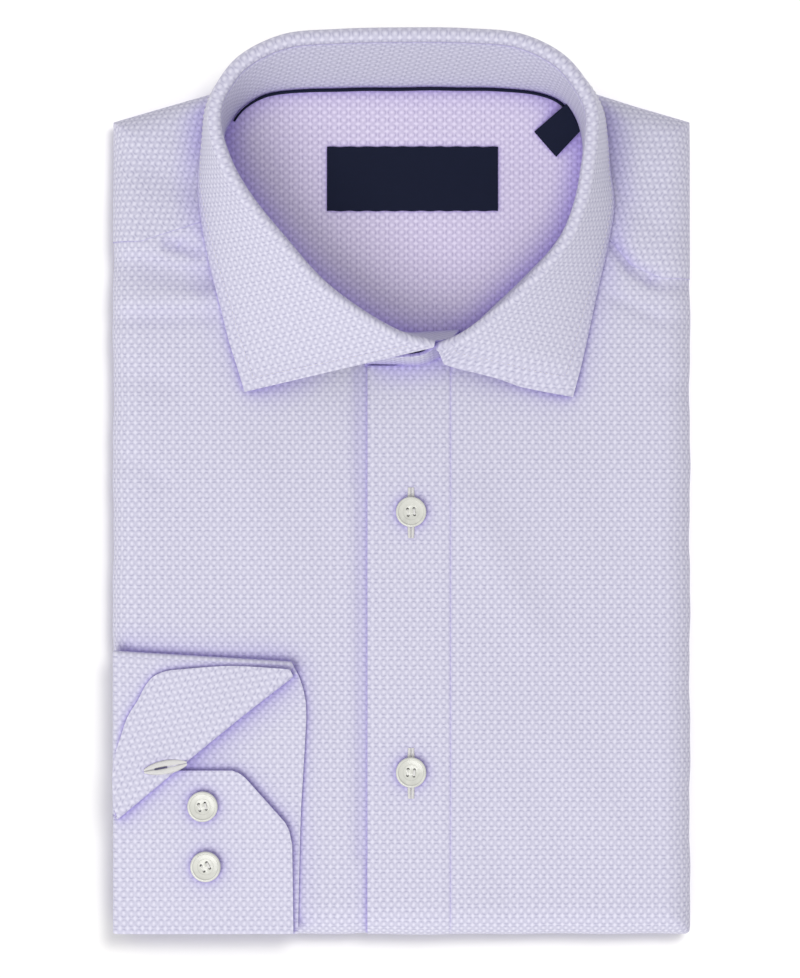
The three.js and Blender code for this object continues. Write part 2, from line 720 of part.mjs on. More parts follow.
// A label lies on the lining; its corners are bottom left, bottom right, top right and top left
const mainLabel = { corners: [[-30.5, 112.4], [39.5, 112.4], [39.5, 138.6], [-30.5, 138.6]], lift: [0, 0, 0, 0] };
const sizeLabel = { corners: [[54.2, 144.6], [63.2, 134.4], [71.6, 145.0], [65.4, 154.4]], lift: [0.2, 0.2, 2.6, 3.6] };
const labelWall = 1.0;

function label(spec, parts) {
  const rows = [];
  for (let i = 0; i <= parts.across; i += 1) {
    const row = [];
    for (let j = 0; j <= parts.up; j += 1) {
      const u = i / parts.across;
      const v = j / parts.up;
      const mix = (k) => lerp(lerp(spec.corners[0][k], spec.corners[1][k], u),
        lerp(spec.corners[3][k], spec.corners[2][k], u), v);
      const lift = lerp(lerp(spec.lift[0], spec.lift[1], u), lerp(spec.lift[3], spec.lift[2], u), v);
      row.push(new THREE.Vector3(mix(0), mix(1), liningTop(mix(0), mix(1)) + seamGap + lift));
    }
    rows.push(row);
  }
  return wall(gridPatch(rows), labelWall, 0);
}

// Wrist edge of the cuff's lower layer, from the top fold down, and of the button end
const wristEdge = [
  { y: -67.6, x: -43.6 }, { y: -71, x: -41.6 }, { y: -78, x: -37.4 }, { y: -93.4, x: -38.1 },
  { y: -119.4, x: -40.1 }, { y: -136.9, x: -41.3 }, { y: -150, x: cuffWrist }, { y: bottomEdge, x: cuffWrist },
];
const buttonEndEdge = [
  { y: bottomEdge, x: -43.6 }, { y: -140.6, x: -45.4 }, { y: -117.2, x: -64.2 }, { y: bottomEdge + cuffEndLength, x: -66.6 },
];

function edgeAt(edge, y) {
  for (let k = 0; k + 1 < edge.length; k += 1) {
    if ((y - edge[k].y) * (y - edge[k + 1].y) <= 0) {
      return lerp(edge[k].x, edge[k + 1].x, (y - edge[k].y) / (edge[k + 1].y - edge[k].y));
    }
  }
  return edge[y > edge[0].y ? 0 : edge.length - 1].x;
}

const cuffMiddle = bodyHeight + cuffLift + cuffWall / 2;
const cuffFoot = bottomEdge + 1.4;

// Cuff: from the top fold down its lower layer, round the bottom fold and up to the button end
function cuff() {
  const line = [];
  for (const angle of [180, 135, 90, 45]) {
    const turn = THREE.MathUtils.degToRad(angle);
    line.push({ y: cuffTop - flapRoll * (1 - Math.sin(turn)), rise: flapRoll * (1 - Math.cos(turn)), edge: wristEdge });
  }
  const lowerFrom = cuffTop - flapRoll;
  const lowerTo = cuffFoot + buttonEndRoll;
  for (const y of [lowerFrom, -71, -74.5, -78, -85.6, -93.4, -106, -119.4, -128, -136.9, -150, -166, lowerTo]) {
    line.push({ y, rise: 0, edge: wristEdge });
  }
  for (const angle of [45, 90, 135]) {
    const turn = THREE.MathUtils.degToRad(angle);
    line.push({
      y: lowerTo - buttonEndRoll * Math.sin(turn),
      rise: buttonEndRoll * (1 - Math.cos(turn)),
      edge: angle < 90 ? wristEdge : buttonEndEdge,
    });
  }
  for (const y of [lowerTo, -166, -150, -140.6, -135, -129, -123, -117.2, bottomEdge + cuffEndLength]) {
    line.push({ y, rise: 2 * buttonEndRoll, edge: buttonEndEdge });
  }
  const rows = line.map(({ y, rise, edge }) => {
    const wrist = edgeAt(edge, y);
    return [0, 0.35, 0.7, 1].map((t) => new THREE.Vector3(lerp(cuffSeam, wrist, t), y, cuffMiddle + rise));
  });
  return wall(gridPatch(rows), cuffWall / 2, cuffWall / 2);
}

// The buttonhole end before it is turned back, and the line that it is turned about
const flapOutline = [
  [cuffSeam, cuffTop - flapRoll - seamGap], [-44.6, cuffTop - flapRoll - seamGap], [-44.2, -104], [-44.8, -118], [-57.0, -136.0],
  [-60.4, -138.8], [cuffSeam, -136.2],
];
const turnLine = { fromX: -42.6, fromY: -74.6, toX: -117.4, toY: -136.9 };

// Cuts a flat convex outline by a line; keeps the part where side is positive
function clip(outline, side) {
  const kept = [];
  outline.forEach((point, k) => {
    const next = outline[(k + 1) % outline.length];
    const here = side(point);
    const there = side(next);
    if (here >= 0) {
      kept.push(point);
    }
    if (here * there < 0) {
      const t = here / (here - there);
      kept.push([lerp(point[0], next[0], t), lerp(point[1], next[1], t)]);
    }
  });
  return kept;
}

// The buttonhole end lies over the button end and is turned back about a slanting line
function cuffFlap() {
  const span = Math.hypot(turnLine.toX - turnLine.fromX, turnLine.toY - turnLine.fromY);
  const along = [(turnLine.toX - turnLine.fromX) / span, (turnLine.toY - turnLine.fromY) / span];
  const past = [-along[1], along[0]];
  const distance = ([x, y]) => (x - turnLine.fromX) * past[0] + (y - turnLine.fromY) * past[1];
  const arc = Math.PI * turnRoll;
  const base = cuffMiddle + 2 * flapRoll;
  const place = (point) => {
    const d = distance(point);
    const footX = point[0] - past[0] * d;
    const footY = point[1] - past[1] * d;
    let level = d;
    let rise = 0;
    if (d > 0 && d < arc) {
      level = turnRoll * Math.sin(d / turnRoll);
      rise = turnRoll * (1 - Math.cos(d / turnRoll));
    } else if (d >= arc) {
      level = -(d - arc);
      rise = 2 * turnRoll;
    }
    return new THREE.Vector3(footX + past[0] * level, footY + past[1] * level, base + rise);
  };
  const cuts = [-60, -30, -12, 0, arc / 4, arc / 2, (3 * arc) / 4, arc, arc + 12, arc + 30, arc + 60];
  const points = [];
  const triangles = [];
  const index = new Map();
  const indexOf = (point) => {
    const key = `${point[0].toFixed(3)}_${point[1].toFixed(3)}`;
    if (!index.has(key)) {
      index.set(key, points.push(place(point)) - 1);
    }
    return index.get(key);
  };
  for (let k = 0; k + 1 < cuts.length; k += 1) {
    const above = clip(flapOutline, (point) => distance(point) - cuts[k]);
    const strip = above.length > 2 ? clip(above, (point) => cuts[k + 1] - distance(point)) : [];
    const corners = [...new Set(strip.map(indexOf))];
    for (let c = 1; c + 1 < corners.length; c += 1) {
      triangles.push([corners[0], corners[c + 1], corners[c]]);
    }
  }
  return wall({ points, triangles }, cuffWall / 2, cuffWall / 2);
}

// Sleeve end: comes from under the shirt, round its folded side, to the cuff
function sleeve() {
  const sleeveWall = 2.2;
  const outer = -halfWidth + sleeveWall / 2;
  const section = [
    { x: outer, height: 27.6 },
    { x: outer, height: 16 },
    { x: outer, height: 8 },
    { x: outer + 0.6, height: 4.6 },
    { x: outer + 2.0, height: 2.4 },
  ];
  const rows = [];
  for (const y of [bottomEdge + 2, -170, -150, -130, -110, -90, cuffTop - 1]) {
    rows.push(section.map((point) => new THREE.Vector3(point.x, y, point.height)));
  }
  return wall(gridPatch(rows), sleeveWall / 2, sleeveWall / 2);
}

// Four-hole button with a raised rim, standing on its underside at z = 0
function buttonBlank() {
  const profile = [
    [0, 0], [buttonRadius - 1.2, 0], [buttonRadius, 0.9], [buttonRadius, 1.7], [buttonRadius - 0.7, buttonHeight],
    [buttonRadius - 1.6, buttonHeight - 0.1], [buttonRadius - 2.5, buttonHeight - 0.8], [0, buttonHeight - 0.9],
  ].map(([r, z]) => new THREE.Vector2(r, z));
  const blank = new THREE.LatheGeometry(profile, 24).rotateX(Math.PI / 2);
  return blank;
}

function toManifold(geometry) {
  const bare = geometry.clone();
  bare.deleteAttribute("normal");
  bare.deleteAttribute("uv");
  const merged = mergeVertices(bare, 1e-4);
  return new wasm.Manifold(new wasm.Mesh({
    numProp: 3,
    vertProperties: Float32Array.from(merged.attributes.position.array),
    triVerts: Uint32Array.from(merged.index.array),
  }));
}

function toGeometry(manifold) {
  const mesh = manifold.getMesh();
  const geometry = new THREE.BufferGeometry();
  geometry.setAttribute("position", new THREE.Float32BufferAttribute(mesh.vertProperties, 3));
  geometry.setIndex(Array.from(mesh.triVerts));
  geometry.computeVertexNormals();
  return geometry;
}

function button(turn) {
  let body = toManifold(buttonBlank());
  for (const [sideX, sideY] of [[-1, -1], [1, -1], [1, 1], [-1, 1]]) {
    const drill = new THREE.CylinderGeometry(buttonHole.radius, buttonHole.radius, 3 * buttonHeight, 8);
    drill.rotateX(Math.PI / 2).translate(sideX * buttonHole.offset, sideY * buttonHole.offset, 0);
    body = body.subtract(toManifold(drill));
  }
  return toGeometry(body).rotateZ(turn);
}

const shirt = new THREE.Group();

function add(name, geometry, material, place) {
  const mesh = new THREE.Mesh(geometry, material);
  mesh.name = name;
  if (place) {
    mesh.position.set(place.x, place.y, place.z);
  }
  shirt.add(mesh);
}

const cloth = finish(colours.cloth, 0.85);
const collarCloth = finish(colours.collar, 0.8);
const insideCloth = finish(colours.inside, 0.9);
const navyCloth = finish(colours.navy, 0.8);
const pearl = finish(colours.pearl, 0.3);

add("folded_layers", foldedLayers(), cloth);
add("front_button_side", frontButtonSide(), cloth);
add("front_placket_side", frontPlacketSide(), cloth);
add("placket", placket(), cloth);
add("yoke", yoke(), cloth);
add("yoke_lining", yokeLining(), insideCloth);
add("collar_band", collarBand(), collarCloth);
add("collar_leaf", collarLeaf(), collarCloth);
add("neck_tape", neckTape(), navyCloth);
add("label_main", label(mainLabel, { across: 8, up: 3 }), navyCloth);
add("label_size", label(sizeLabel, { across: 3, up: 3 }), navyCloth);
add("cuff", cuff(), collarCloth);
add("cuff_flap", cuffFlap(), collarCloth);
add("sleeve", sleeve(), cloth);

const frontButtonSeat = bodyHeight + placketRise + seamGap;
const cuffButtonSeat = cuffMiddle + 2 * buttonEndRoll + cuffWall / 2 + seamGap;
const buttons = [
  { name: "front_button_upper", x: frontMiddle, y: -10.7, z: frontButtonSeat, turn: 0.1 },
  { name: "front_button_lower", x: frontMiddle, y: -116.6, z: frontButtonSeat, turn: -0.1 },
  { name: "cuff_button_outer", x: -80.8, y: -130.4, z: cuffButtonSeat, turn: 0.2 },
  { name: "cuff_button_inner", x: -79.6, y: -154.8, z: cuffButtonSeat, turn: 0.5 },
];
for (const { name, turn, ...place } of buttons) {
  add(name, button(turn), pearl, place);
}

export default shirt;
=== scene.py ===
import math

import bmesh
import bpy
import numpy as np
from bpy.props import FloatProperty, FloatVectorProperty, PointerProperty
from mathutils import Matrix, Vector


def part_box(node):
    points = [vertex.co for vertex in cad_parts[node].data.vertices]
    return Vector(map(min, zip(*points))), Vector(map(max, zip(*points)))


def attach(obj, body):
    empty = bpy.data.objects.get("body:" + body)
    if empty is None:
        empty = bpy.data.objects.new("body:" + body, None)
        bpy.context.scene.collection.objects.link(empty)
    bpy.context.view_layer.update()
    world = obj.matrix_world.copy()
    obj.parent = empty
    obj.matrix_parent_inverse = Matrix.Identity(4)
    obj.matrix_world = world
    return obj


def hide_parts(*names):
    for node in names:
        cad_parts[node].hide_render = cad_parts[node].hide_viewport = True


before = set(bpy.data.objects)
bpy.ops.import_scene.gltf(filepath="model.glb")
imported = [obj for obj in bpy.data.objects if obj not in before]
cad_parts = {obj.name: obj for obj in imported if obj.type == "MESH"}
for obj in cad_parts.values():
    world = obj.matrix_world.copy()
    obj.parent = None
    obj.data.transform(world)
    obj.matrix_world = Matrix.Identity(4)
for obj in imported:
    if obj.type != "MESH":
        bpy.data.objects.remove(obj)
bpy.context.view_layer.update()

bl_info = {
    "name": "Folded dress shirt",
    "version": (1, 0, 0),
    "blender": (4, 5, 0),
    "location": "View3D > Sidebar > Shirt",
    "description": "Cloth, collar, cuff, buttons and sewing of a folded long sleeve dress shirt",
    "category": "Object",
}

# Sizes below are in millimetres; MM turns them into metres
MM = 0.001

# Folded body, as in the solids
HALF_WIDTH = 117.4
BOTTOM_EDGE = -182.5
SIDE_CORNER = 148.4
BODY_HEIGHT = 24.0
SHOULDER_DROP = 2.5
EDGE_ROLL = 11.0
FLAT_SIDE = HALF_WIDTH - EDGE_ROLL
LOWER_ROLL = {"radius": 8.5, "height": 10.5, "end": math.radians(55)}
SEAM_GAP = 0.3
SEAM_LAP = 1.6
LAP_DIP = 0.45
EDGE_BULGE = 1.08

PLACKET_LEFT = -14.0
PLACKET_RIGHT = 20.1
PLACKET_RISE = 2.1
PLACKET_BLEND = 45.0
BUTTON_STAND_EDGE = 5.0
SLEEVE_NOTCH = 3.2
PLACKET_NOTCH = 0.3

BAND_WALL = 1.6
ROLL_RADIUS = 2.2
LEAF_FOOT = 2.5
LEAF_BELLY = {"out": 0.6, "up": 1.6}
LINING_HEIGHT = 15.2

CUFF_WALL = 1.1
CUFF_TOP = -67.6
CUFF_WRIST = -42.1
CUFF_END_LENGTH = 66.7
CUFF_LIFT = 0.3
BUTTON_END_ROLL = 0.8
FLAP_ROLL = 1.6
TURN_ROLL = 1.5
CUFF_MIDDLE = BODY_HEIGHT + CUFF_LIFT + CUFF_WALL / 2

# Collar stations from the left front, round the back of the neck, to the right front. Each row has x, y and z
# of the seam at the band's foot, of the crest, and of the leaf's edge
FOOT, CREST, EDGE = slice(0, 3), slice(3, 6), slice(6, 9)
COLLAR_STATIONS = np.array([
    (11.0, 62.4, 17.6, 13.0, 55.7, 47.0, -63.6, 38.1, 25.9),
    (0.0, 62.3, 17.6, -0.6, 59.2, 48.0, -66.5, 47.8, 25.6),
    (-16.6, 69.6, 17.6, -16.6, 67.9, 49.5, -69.8, 58.4, 25.4),
    (-33.8, 82.4, 17.6, -33.4, 80.7, 51.0, -73.0, 71.4, 25.3),
    (-49.3, 99.6, 17.6, -48.6, 97.8, 52.5, -77.1, 87.7, 25.2),
    (-61.7, 115.3, 17.7, -61.3, 113.3, 54.0, -80.8, 106.1, 25.0),
    (-70.4, 130.2, 18.2, -70.0, 127.9, 55.5, -82.4, 123.6, 24.6),
    (-73.2, 141.2, 18.8, -74.4, 141.8, 56.5, -80.8, 140.7, 23.8),
    (-69.8, 149.6, 19.5, -74.2, 152.5, 57.0, -79.0, 154.0, 23.3),
    (-64.5, 155.6, 20.0, -70.6, 160.5, 57.2, -74.4, 163.6, 20.5),
    (-55.0, 160.4, 20.2, -63.0, 169.4, 57.4, -65.2, 172.4, 15.5),
    (-38.0, 162.0, 20.3, -46.6, 177.4, 57.5, -47.8, 180.6, 14.2),
    (-19.5, 162.4, 20.3, -25.3, 179.4, 57.5, -25.8, 182.4, 13.7),
    (0.2, 162.6, 20.3, 0.2, 180.0, 57.5, 0.2, 182.8, 13.5),
    (20.0, 162.7, 20.3, 26.3, 179.7, 57.5, 26.8, 182.6, 13.7),
    (38.5, 162.4, 20.3, 47.2, 177.6, 57.5, 48.6, 180.8, 14.2),
    (54.8, 161.2, 20.2, 62.8, 170.0, 57.4, 65.4, 173.0, 15.5),
    (65.0, 157.6, 20.0, 71.6, 159.9, 57.2, 75.8, 163.4, 20.5),
    (71.0, 151.0, 19.5, 76.0, 150.3, 57.0, 81.6, 153.0, 23.4),
    (74.4, 141.0, 18.8, 76.2, 139.8, 56.5, 83.5, 141.6, 23.8),
    (74.4, 130.0, 18.2, 74.8, 127.9, 55.5, 84.5, 128.5, 24.6),
    (71.6, 115.9, 17.7, 72.1, 113.3, 54.0, 86.1, 114.2, 25.0),
    (64.4, 100.0, 17.6, 65.8, 97.8, 52.5, 83.6, 97.9, 25.2),
    (50.0, 84.2, 17.6, 53.0, 82.3, 51.0, 79.9, 81.6, 25.3),
    (37.0, 71.8, 17.6, 39.5, 69.5, 49.5, 76.7, 66.5, 25.4),
    (25.4, 60.4, 18.4, 25.3, 58.9, 48.0, 73.4, 51.1, 25.6),
    (15.8, 51.4, 20.2, 14.2, 54.3, 45.6, 69.7, 36.0, 25.9),
])
# The band's ends past the stations: x, y and z of the foot, and of the top
LEFT_BAND_END = np.array([(24.0, 63.2, 17.6, 20.6, 58.8, 41.5)])
RIGHT_BAND_END = np.array([
    (8.0, 48.4, 20.4, 8.0, 53.2, 39.5),
    (-3.0, 48.8, 20.4, -3.0, 52.4, 36.5),
    (-15.2, 49.1, 20.4, -14.6, 51.4, 29.8),
])
LAST_STATION = len(COLLAR_STATIONS) - 1
# How far the right leaf's front edge hangs down, by the place along it, and which way
RIGHT_EDGE_SHARE = np.array([0, 0.04, 0.15, 0.3, 0.45, 0.6, 0.8, 1])
RIGHT_EDGE_LOW = np.array([0, 4.0, 3.9, 3.1, 2.6, 2.9, 1.6, 0])
RIGHT_EDGE_WAY = np.array([0, -1.0, -2.3])
RIGHT_EDGE_FROM = 24.9 / LAST_STATION
NECK_MIDDLE = np.array([0.5, 112])

LEFT_YOKE_SEAM = np.array([(-117.4, 95.9), (-82.0, 107.3), (-40.0, 120.8)])
RIGHT_YOKE_SEAM = np.array([(117.4, 79.8), (93.8, 89.6), (85.7, 99.1), (58.0, 134.0)])
# The yoke's outer fold: x, y, radius of its roll, and the place along the neck edge that lies across from it
YOKE_OUTLINE = np.array([
    (-117.4, 99.59, 11, 0), (-117.4, 122, 11, 0.075), (-117.4, 148.4, 11, 0.165), (-96.6, 154.4, 9, 0.21),
    (-79, 159.4, 5.5, 0.25), (-62, 166.0, 3.2, 0.295), (-40, 169.8, 3.0, 0.38), (0, 170.6, 3.0, 0.502),
    (40, 170.4, 3.0, 0.622), (62, 167.2, 3.1, 0.71), (79, 159.9, 5.4, 0.755), (96.6, 154.4, 9, 0.786),
    (117.4, 148.4, 11, 0.828), (117.4, 116, 11, 0.915), (117.4, 84.52, 11, 1),
])

# Folds and creases of the front and the yoke: the ends of the line, half the breadth, and the height
CREASES = np.array([
    (-16.8, 54, -16.8, 3, 3.0, -1.1),
    (-16.6, -2, -16.6, -150, 2.6, -0.8),
    (86, 98.5, 91.9, 91.8, 2.7, -2.4),
    (94.6, 88.8, 100.4, 85.0, 3.1, -2.5),
    (104.2, 83.2, 116, 79.6, 3.0, -2.0),
    (-112, 133, -84, 121, 8, -1.4),
    (-116, 93, -78, 84.5, 4.6, -2.2),
    (-116, 74, -76, 73, 6, 1.5),
    (-115, 47, -96, 42, 6, -1.12),
    (84, 79, 114, 66, 6, -0.5),
    (109, 42, 117, 35, 5, -1.12),
    (28, -7, 54, -59, 9, 0.98),
    (-117, 87, -80, 80, 2.2, -0.49),
    (-117, 69, -77, 70, 4, -1.9),
    (-95.4, 99.1, -82.4, 95.1, 2.6, -1.9),
    (-110, 13, -98, 2, 4, -0.63),
    (-116, 36, -112, 26, 2.5, -0.84),
    (111, 32, 116, 26, 2.5, -0.84),
    (86, 77, 113, 64, 2.2, -0.7),
    (-92, 97, -88, 99, 3.5, -0.98),
    (90, 118, 108, 104, 4, -0.7),
    (98, 138, 112, 126, 5, 0.7),
    (-60, 10, -52, -40, 10, 0.56),
    (70, 40, 88, -20, 11, -0.63),
    (60, -100, 92, -150, 12, 0.63),
    (-30, -20, -28, -90, 8, -0.42),
    (30, -120, 44, -170, 9, -0.49),
])


def smooth(start, end, value):
    t = np.clip((value - start) / (end - start), 0.0, 1.0)
    return t * t * (3 - 2 * t)


def lerp(a, b, t):
    return a + (b - a) * t


def unit(vectors):
    return vectors / np.maximum(1e-9, np.linalg.norm(vectors, axis=-1, keepdims=True))


def with_height(xy, z):
    return np.concatenate([xy, z[..., None]], axis=-1)


def mitred(first, second):
    """The way between two edges' normals, longer at a corner so that an inset keeps its breadth"""
    middle = unit(first + second)
    return middle / np.maximum(0.6, (middle * first).sum(axis=1))[:, None]


def fold_height(x, y):
    total = np.zeros_like(np.asarray(x + y, dtype=float))
    for from_x, from_y, to_x, to_y, width, height in CREASES:
        along_x, along_y = to_x - from_x, to_y - from_y
        span = math.hypot(along_x, along_y)
        along = ((x - from_x) * along_x + (y - from_y) * along_y) / span
        beyond = np.maximum(0, np.maximum(-along, along - span))
        across = ((x - from_x) * along_y - (y - from_y) * along_x) / span
        total = total + height * np.exp(-(across ** 2 + beyond ** 2) / width ** 2)
    return total


def ripple(x, y):
    """Slow unevenness of pressed cloth"""
    waves = ((0.031, 0.017, 0.4), (-0.019, 0.043, 1.7), (0.057, -0.036, 2.9), (0.085, 0.071, 0.8))
    return sum(0.10 * np.sin(a * x + b * y + phase) for a, b, phase in waves)


def front_height(x, y):
    return BODY_HEIGHT - SHOULDER_DROP * smooth(95, 155, y) + fold_height(x, y) + ripple(x, y)


def edge_profile(along, radius, top):
    """How far out and how high the turned edge lies, at a length along it from the end of the flat top"""
    quarter = radius * math.pi / 2
    upper = np.clip(along, 0, quarter) / radius
    drop = np.clip(top - radius - LOWER_ROLL["height"], 0, None)
    straight = np.clip(along - quarter, 0, drop)
    turn = np.clip((along - quarter - drop) / LOWER_ROLL["radius"], 0, LOWER_ROLL["end"])
    out = radius * np.sin(upper) - LOWER_ROLL["radius"] * (1 - np.cos(turn))
    height = top - radius * (1 - np.cos(upper)) - straight - LOWER_ROLL["radius"] * np.sin(turn)
    return out, height


def edge_length(radius, top):
    drop = np.maximum(0, top - radius - LOWER_ROLL["height"])
    return radius * math.pi / 2 + drop + LOWER_ROLL["radius"] * LOWER_ROLL["end"]


def spline(points, t):
    """Centripetal Catmull-Rom curve through points, at places t from 0 to 1"""
    points = np.asarray(points, dtype=float)
    last = len(points) - 1
    padded = np.vstack([2 * points[0] - points[1], points, 2 * points[-1] - points[-2]])
    place = np.clip(np.asarray(t, dtype=float), 0, 1) * last
    k = np.minimum(place.astype(int), last - 1)
    w = (place - k)[:, None]
    p0, p1, p2, p3 = (padded[k + n] for n in range(4))
    d0, d1, d2 = (np.sqrt(np.linalg.norm(b - a, axis=1, keepdims=True))
                  for a, b in ((p0, p1), (p1, p2), (p2, p3)))
    t1 = ((p1 - p0) / d0 - (p2 - p0) / (d0 + d1) + (p2 - p1) / d1) * d1
    t2 = ((p2 - p1) / d1 - (p3 - p1) / (d1 + d2) + (p3 - p2) / d2) * d1
    return p1 + t1 * w + (3 * (p2 - p1) - 2 * t1 - t2) * w ** 2 + (2 * (p1 - p2) + t1 + t2) * w ** 3


def spline_tangent(points, t):
    return unit(spline(points, np.minimum(t + 1e-4, 1)) - spline(points, np.maximum(t - 1e-4, 0)))


def outward(points, t):
    """Level way out of the collar, square to one of its lines"""
    tangent = spline_tangent(points, t)
    return unit(np.stack([-tangent[:, 1], tangent[:, 0], np.zeros(len(t))], axis=1))


def crest_outward(t):
    return outward(COLLAR_STATIONS[:, CREST], t)


def band_rows():
    """Foot and top of the band at each station; the top lies where the leaf starts, under the crest"""
    t = np.arange(LAST_STATION + 1) / LAST_STATION
    top = spline(COLLAR_STATIONS[:, CREST], t) - ROLL_RADIUS * crest_outward(t)
    top[:, 2] -= ROLL_RADIUS + LEAF_FOOT + 2 * SEAM_GAP
    middle = np.hstack([COLLAR_STATIONS[:, FOOT], top])
    return np.vstack([LEFT_BAND_END, middle, RIGHT_BAND_END])


BAND_ROWS = band_rows()


def band_foot(t):
    return spline(BAND_ROWS[:, FOOT], t)


def band_top(t):
    return spline(BAND_ROWS[:, CREST], t)


def band_outward(t):
    return outward(BAND_ROWS[:, FOOT], t)


def neckline(t):
    """Neck edge of the panels, just outside the band's foot"""
    point = band_foot(t)
    near = BAND_WALL / 2 + SEAM_GAP
    clearance = lerp(near + 0.2, near + 1.5, smooth(146, 158, point[:, 1]))
    return point + band_outward(t) * clearance[:, None]


def neckline_at(x, side):
    """How far up the neck edge lies at x, on the left half (-1) or the right half (1); inf past it"""
    t = np.linspace(0, 0.5, 400) if side < 0 else np.linspace(1, 0.5, 400)
    points = neckline(t)
    here, there = points[:-1, 0], points[1:, 0]
    found = []
    for value in x:
        hit = np.nonzero(((here - value) * side <= 0) & ((there - value) * side > 0))[0]
        if len(hit):
            k = hit[0]
            share = (value - here[k]) / (there[k] - here[k])
            found.append(lerp(points[k, 1], points[k + 1, 1], share))
        else:
            found.append(np.inf)
    return np.array(found)


def seam_at(seam, x):
    order = np.argsort(seam[:, 0])
    return np.interp(x, seam[order, 0], seam[order, 1])


def neck_reach(x, y):
    """Distance from the middle of the neck hollow, as a share of the way to the band's foot"""
    ring = band_foot(np.linspace(0.05, 0.88, 97))[:, :2] - NECK_MIDDLE
    ring_angle = np.arctan2(ring[:, 1], ring[:, 0])
    ring_radius = np.linalg.norm(ring, axis=1)
    order = np.argsort(ring_angle)
    x, y = x - NECK_MIDDLE[0], y - NECK_MIDDLE[1]
    radius = np.interp(np.arctan2(y, x), ring_angle[order], ring_radius[order], period=2 * math.pi)
    return np.hypot(x, y) / radius


def leaf_lines(t):
    """Lines across the leaf, from the band over the roll to its edge, and which one is the crest"""
    crest, edge = spline(COLLAR_STATIONS[:, CREST], t), spline(COLLAR_STATIONS[:, EDGE], t)
    up = np.array([0, 0, 1.0])
    inward = -crest_outward(t)
    centre = crest - up * ROLL_RADIUS
    fall = edge - crest
    fall[:, 2] = 0
    level = np.linalg.norm(fall, axis=1)
    fall = unit(fall)
    slope = np.arctan2(centre[:, 2] - edge[:, 2], np.maximum(1, level - ROLL_RADIUS))
    slope = np.minimum(math.pi / 2 - 0.05, slope)[:, None]
    lines = [centre + inward * ROLL_RADIUS - up * LEAF_FOOT * part for part in (1, 0.5)]
    for angle in np.linspace(0, math.pi / 2, 8)[:-1]:
        lines.append(centre + inward * ROLL_RADIUS * math.cos(angle) + up * ROLL_RADIUS * math.sin(angle))
    for part in np.linspace(0, 1, 6):
        angle = lerp(math.pi / 2, math.pi / 2 - slope, part)
        lines.append(centre + fall * ROLL_RADIUS * np.cos(angle) + up * ROLL_RADIUS * np.sin(angle))
    crest_line = len(lines) - 1
    start = lines[crest_line]
    reach = np.linalg.norm(edge - start, axis=1)[:, None]
    leave = fall * np.cos(slope) - up * np.sin(slope)
    belly = start + leave * reach / 3
    arrive = lerp(edge, start, 1 / 3) + fall * LEAF_BELLY["out"] + up * LEAF_BELLY["up"] * np.cos(slope)
    near_end = (smooth(RIGHT_EDGE_FROM, 1, t) ** 1.5)[:, None]
    parts = np.linspace(0, 1, 27)[1:]
    for part, low in zip(parts, np.interp(parts, RIGHT_EDGE_SHARE, RIGHT_EDGE_LOW)):
        rest = 1 - part
        line = (rest ** 3 * start + 3 * rest ** 2 * part * belly + 3 * rest * part ** 2 * arrive
                + part ** 3 * edge)
        lines.append(line + near_end * low * RIGHT_EDGE_WAY)
    return np.stack(lines, axis=1), crest_line


def lining_top(x, y):
    rise = 1.9 * smooth(0.7, 1, neck_reach(x, y)) + 2.7 * smooth(128, 160, y)
    ripples = 0.25 * np.sin(0.09 * x + 0.05 * y) + 0.2 * np.sin(0.05 * x - 0.13 * y + 1)
    return LINING_HEIGHT + rise + ripples * smooth(1, 0.6, neck_reach(x, y))


def unrolled(rail_a, rail_b, start):
    """Lays the strip between two rails flat, both ways from the start row; gives two rows of flat points"""
    count = len(rail_a)
    flat_a, flat_b = np.zeros((count, 2)), np.zeros((count, 2))
    flat_b[start] = (0, np.linalg.norm(rail_b[start] - rail_a[start]))

    def third(p, q, from_p, from_q, way):
        base = q - p
        span = np.linalg.norm(base)
        along = (from_p ** 2 - from_q ** 2 + span ** 2) / (2 * span)
        off = math.sqrt(max(0, from_p ** 2 - along ** 2))
        return p + base / span * along + way * off * np.array([base[1], -base[0]]) / span

    def distance(a, b):
        return float(np.linalg.norm(a - b))

    for way, order in ((1, range(start, count - 1)), (-1, range(start, 0, -1))):
        for k in order:
            n = k + way
            flat_a[n] = third(flat_a[k], flat_b[k], distance(rail_a[n], rail_a[k]),
                              distance(rail_a[n], rail_b[k]), way)
            flat_b[n] = third(flat_a[n], flat_b[k], distance(rail_b[n], rail_a[n]),
                              distance(rail_b[n], rail_b[k]), way)
    return flat_a, flat_b


# Meshes

def deselect():
    if bpy.context.object and bpy.context.object.mode != "OBJECT":
        bpy.ops.object.mode_set(mode="OBJECT")
    bpy.ops.object.select_all(action="DESELECT")


def make_active(piece):
    deselect()
    piece.select_set(True)
    bpy.context.view_layer.objects.active = piece


def grid_piece(name, points, cloth):
    """A sheet from rows of points, with each point's place on the flat cloth in the map named cloth"""
    n, m = points.shape[:2]
    index = np.arange(n * m).reshape(n, m)
    quads = np.stack([index[:-1, :-1], index[1:, :-1], index[1:, 1:], index[:-1, 1:]], axis=-1).reshape(-1, 4)
    return mesh_piece(name, points.reshape(-1, 3), quads, cloth.reshape(-1, 2))


def mesh_piece(name, points, faces, cloth):
    mesh = bpy.data.meshes.new(name)
    mesh.from_pydata((points * MM).tolist(), [], [list(map(int, face)) for face in faces])
    uv = mesh.uv_layers.new(name="cloth")
    corners = np.zeros(len(mesh.loops), dtype=np.int32)
    mesh.loops.foreach_get("vertex_index", corners)
    uv.data.foreach_set("uv", cloth[corners].astype(np.float32).ravel())
    piece = bpy.data.objects.new(name, mesh)
    bpy.context.scene.collection.objects.link(piece)
    return piece


